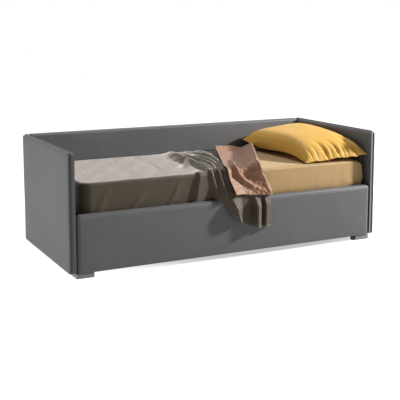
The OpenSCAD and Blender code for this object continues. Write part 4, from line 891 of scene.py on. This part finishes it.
# Boards and battens
# The panels' cores, the floor's battens and the foot blocks are planed softwood and
# plywood, glued and screwed; the two floor panels are thin melamine-faced board.


def paint(material, *nodes):
    """Gives CAD nodes a finish in place of their plain one."""
    for node in nodes:
        for place in bpy.data.objects[node].material_slots:
            place.material = material


def wood(name, dark, light, grain, rough, coat=0.0):
    """Sawn or planed wood: long grain bands along X, Y or Z, fine pores and a matt face."""
    material, tree = empty_tree(name)
    coords = add_node(tree, "ShaderNodeTexCoord").outputs["Object"]
    run = add_node(tree, "ShaderNodeMapping", {"Vector": coords, "Scale": grain}).outputs[0]
    rings = add_node(tree, "ShaderNodeTexNoise", {"Vector": run, "Scale": 60.0, "Detail": 6.0,
                                                  "Roughness": 0.6, "Distortion": 0.5})
    pores = add_node(tree, "ShaderNodeTexNoise", {"Vector": run, "Scale": 420.0, "Detail": 2.0})
    tone = add_node(tree, "ShaderNodeValToRGB", {"Fac": rings.outputs["Fac"]})
    tone.color_ramp.elements[0].position = 0.3
    tone.color_ramp.elements[0].color = linear(dark)
    tone.color_ramp.elements[1].position = 0.7
    tone.color_ramp.elements[1].color = linear(light)
    pore_bump = add_node(tree, "ShaderNodeBump", {"Height": pores.outputs["Fac"], "Strength": 0.3,
                                                  "Distance": 0.0005})
    surface = add_node(tree, "ShaderNodeBsdfPrincipled", {
        "Base Color": tone.outputs[0], "Roughness": rough, "IOR": 1.5, "Normal": pore_bump.outputs[0],
        "Coat Weight": coat, "Coat Roughness": 0.3})
    add_node(tree, "ShaderNodeOutputMaterial", {"Surface": surface.outputs[0]})
    return material


softwood = wood("planed_softwood", "b98f5c", "dcbb86", (0.06, 1.0, 1.0), 0.7)
softwood_cross = wood("planed_softwood_cross", "b98f5c", "dcbb86", (1.0, 0.06, 1.0), 0.7)
plywood = wood("birch_plywood", "c39c68", "d9bd8d", (0.08, 1.0, 0.5), 0.65)
melamine = wood("oak_melamine", "b39a76", "c9b28d", (0.05, 1.0, 1.0), 0.5)
paint(plywood, "left_core_board", "right_core_board", "back_core_board", "front_core_board")
paint(softwood, "front_floor_batten", "rear_floor_batten", "front_rest_batten", "foot_blocks")
paint(softwood_cross, "end_floor_battens", "crossbeam")
paint(melamine, "floor_panel_left", "floor_panel_right")

# Slats
# Bent beech laminate, sanded and lacquered, held at both ends in black plastic caps
# that clip to the frame.

beech = wood("lacquered_beech", "c9a06b", "e3c394", (1.0, 0.05, 1.0), 0.4, coat=0.3)
paint(beech, "slats")


def moulded(name, colour, rough, speckle):
    """Moulded plastic or rubber: one even colour with a fine spark-eroded texture."""
    material, tree = empty_tree(name)
    coords = add_node(tree, "ShaderNodeTexCoord").outputs["Object"]
    texture = add_node(tree, "ShaderNodeTexNoise", {"Vector": coords, "Scale": 900.0, "Detail": 2.0})
    wear = add_node(tree, "ShaderNodeTexNoise", {"Vector": coords, "Scale": 30.0, "Detail": 3.0})
    tone = add_node(tree, "ShaderNodeMixRGB", {"Fac": wear.outputs["Fac"], "Color1": linear(colour),
                                               "Color2": linear(speckle)})
    grain = add_node(tree, "ShaderNodeBump", {"Height": texture.outputs["Fac"], "Strength": 0.2,
                                              "Distance": 0.0003})
    surface = add_node(tree, "ShaderNodeBsdfPrincipled", {
        "Base Color": tone.outputs[0], "Roughness": rough, "IOR": 1.49, "Normal": grain.outputs[0]})
    add_node(tree, "ShaderNodeOutputMaterial", {"Surface": surface.outputs[0]})
    return material


black_plastic = moulded("black_polypropylene", "1d1d1f", 0.5, "29292b")
white_plastic = moulded("white_polypropylene", "d2d0cc", 0.45, "dedcd8")
rubber = moulded("black_rubber", "181818", 0.8, "232323")
paint(black_plastic, "slat_holders", "centre_foot")
paint(white_plastic, "floor_joiner")
paint(rubber, "rest_buffers", "arm_stops")

# Platform frame
# Square steel tube, welded and powder coated in a pale grey.


def coated_steel(name, colour, edge_colour, rough):
    """Powder coated steel: a faint orange peel, and a slightly paler tone in patches."""
    material, tree = empty_tree(name)
    coords = add_node(tree, "ShaderNodeTexCoord").outputs["Object"]
    peel = add_node(tree, "ShaderNodeTexNoise", {"Vector": coords, "Scale": 500.0, "Detail": 2.0})
    patches = add_node(tree, "ShaderNodeTexNoise", {"Vector": coords, "Scale": 18.0, "Detail": 4.0})
    tone = add_node(tree, "ShaderNodeMixRGB", {"Fac": patches.outputs["Fac"], "Color1": linear(colour),
                                               "Color2": linear(edge_colour)})
    bump = add_node(tree, "ShaderNodeBump", {"Height": peel.outputs["Fac"], "Strength": 0.15,
                                             "Distance": 0.0003})
    surface = add_node(tree, "ShaderNodeBsdfPrincipled", {
        "Base Color": tone.outputs[0], "Roughness": rough, "IOR": 1.5, "Normal": bump.outputs[0]})
    add_node(tree, "ShaderNodeOutputMaterial", {"Surface": surface.outputs[0]})
    return material


frame_paint = coated_steel("pale_grey_powder_coat", "7f8183", "8b8d8f", 0.45)
black_coat = coated_steel("black_powder_coat", "1e1f21", "2a2b2d", 0.42)
cylinder_paint = coated_steel("black_enamel", "101114", "181a1d", 0.2)
foot_paint = coated_steel("grey_foot_enamel", "76787a", "828486", 0.4)
paint(frame_paint, "front_rail", "rear_rail", "left_end_rail", "right_end_rail", "cross_bars")
paint(black_coat, "corner_brackets", "base_plate_left", "base_plate_right", "platform_bracket_left",
      "platform_bracket_right", "mattress_stops", "rear_arm_left", "rear_arm_right", "front_arm_left",
      "front_arm_right")
paint(cylinder_paint, "gas_cylinder_left", "gas_cylinder_right")
paint(foot_paint, "foot_front_left", "foot_front_right", "foot_rear_left", "foot_rear_right")

# Foot end
# The right front foot's inner end is closed by a moulded plastic block, a little
# lower than the foot's leg: a short bar with rounded edges, pushed into the open profile.
# Its near-black colour is painted shade, standing in for the dark inside of the open end.

FOOT_END_SIZE = (0.019, 0.024, 0.027)
FOOT_END_SETBACK, FOOT_END_LIFT, FOOT_END_BEVEL = 0.004, 0.001, 0.002
# Near-black plastic as painted shade for the dark hollow of the foot's open end
painted_shade_plastic = moulded("painted_shade_polypropylene", "0c0c0d", 0.8, "121213")
foot_low = Vector(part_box("foot_front_right")[0])
bpy.ops.object.select_all(action="DESELECT")
bpy.ops.mesh.primitive_cube_add(size=1)
foot_end = bpy.context.object
foot_end.name = "foot_front_right_end"
bpy.ops.object.mode_set(mode="EDIT")
bpy.ops.mesh.select_all(action="SELECT")
bpy.ops.transform.resize(value=FOOT_END_SIZE)
bpy.ops.transform.translate(value=(foot_low.x - FOOT_END_SIZE[0] / 2,
                                   foot_low.y + FOOT_END_SETBACK + FOOT_END_SIZE[1] / 2,
                                   FOOT_END_LIFT + FOOT_END_SIZE[2] / 2))
bpy.ops.mesh.bevel(offset=FOOT_END_BEVEL, segments=3, affect="EDGES")
bpy.ops.object.mode_set(mode="OBJECT")
foot_end.data.materials.append(painted_shade_plastic)
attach(foot_end, "base")

# Fittings
# Bolts, screws, pivots and studs are zinc plated steel, and the gas springs' rods are
# ground and chromed.


def bare_metal(name, colour, rough, brush):
    """Plated steel: metallic, with fine turned lines and a faint cloudy tint."""
    material, tree = empty_tree(name)
    coords = add_node(tree, "ShaderNodeTexCoord").outputs["Object"]
    lines = add_node(tree, "ShaderNodeTexNoise", {"Vector": coords, "Scale": brush, "Detail": 3.0})
    tone = add_node(tree, "ShaderNodeMixRGB", {"Fac": lines.outputs["Fac"], "Color1": linear(colour),
                                               "Color2": linear("e6e7e9")})
    bump = add_node(tree, "ShaderNodeBump", {"Height": lines.outputs["Fac"], "Strength": 0.1,
                                             "Distance": 0.0002})
    surface = add_node(tree, "ShaderNodeBsdfPrincipled", {
        "Base Color": tone.outputs[0], "Metallic": 1.0, "Roughness": rough, "Normal": bump.outputs[0]})
    add_node(tree, "ShaderNodeOutputMaterial", {"Surface": surface.outputs[0]})
    return material


zinc = bare_metal("zinc_plate", "a9adb3", 0.32, 220.0)
chrome = bare_metal("hard_chrome", "cfd2d6", 0.08, 60.0)
paint(zinc, "bracket_screws", "foot_screws", "base_plate_screws", "lower_pivots", "gas_lower_studs",
      "bracket_bolts", "upper_pivots")
paint(chrome, "gas_rod_left", "gas_rod_right")

# Lift strap
# A loop of black polypropylene webbing, sewn to the front rail to pull the bed up by.

webbing, tree = empty_tree("black_webbing")
coords = add_node(tree, "ShaderNodeTexCoord").outputs["Object"]
ribs = add_node(tree, "ShaderNodeTexWave", {"Vector": coords, "Scale": 250.0, "Distortion": 0.3},
                bands_direction="Z")
cords = add_node(tree, "ShaderNodeTexWave", {"Vector": coords, "Scale": 180.0}, bands_direction="X")
woven = add_node(tree, "ShaderNodeMath", {0: ribs.outputs["Fac"], 1: cords.outputs["Fac"]},
                 operation="MULTIPLY").outputs[0]
tone = add_node(tree, "ShaderNodeMixRGB", {"Fac": woven, "Color1": linear("141416"),
                                           "Color2": linear("2c2c30")})
woven_bump = add_node(tree, "ShaderNodeBump", {"Height": woven, "Strength": 0.5, "Distance": 0.0006})
ribbed = add_node(tree, "ShaderNodeBsdfPrincipled", {
    "Base Color": tone.outputs[0], "Roughness": 0.6, "Normal": woven_bump.outputs[0],
    "Sheen Weight": 0.2, "Sheen Roughness": 0.4})
add_node(tree, "ShaderNodeOutputMaterial", {"Surface": ribbed.outputs[0]})
paint(webbing, "lift_strap")
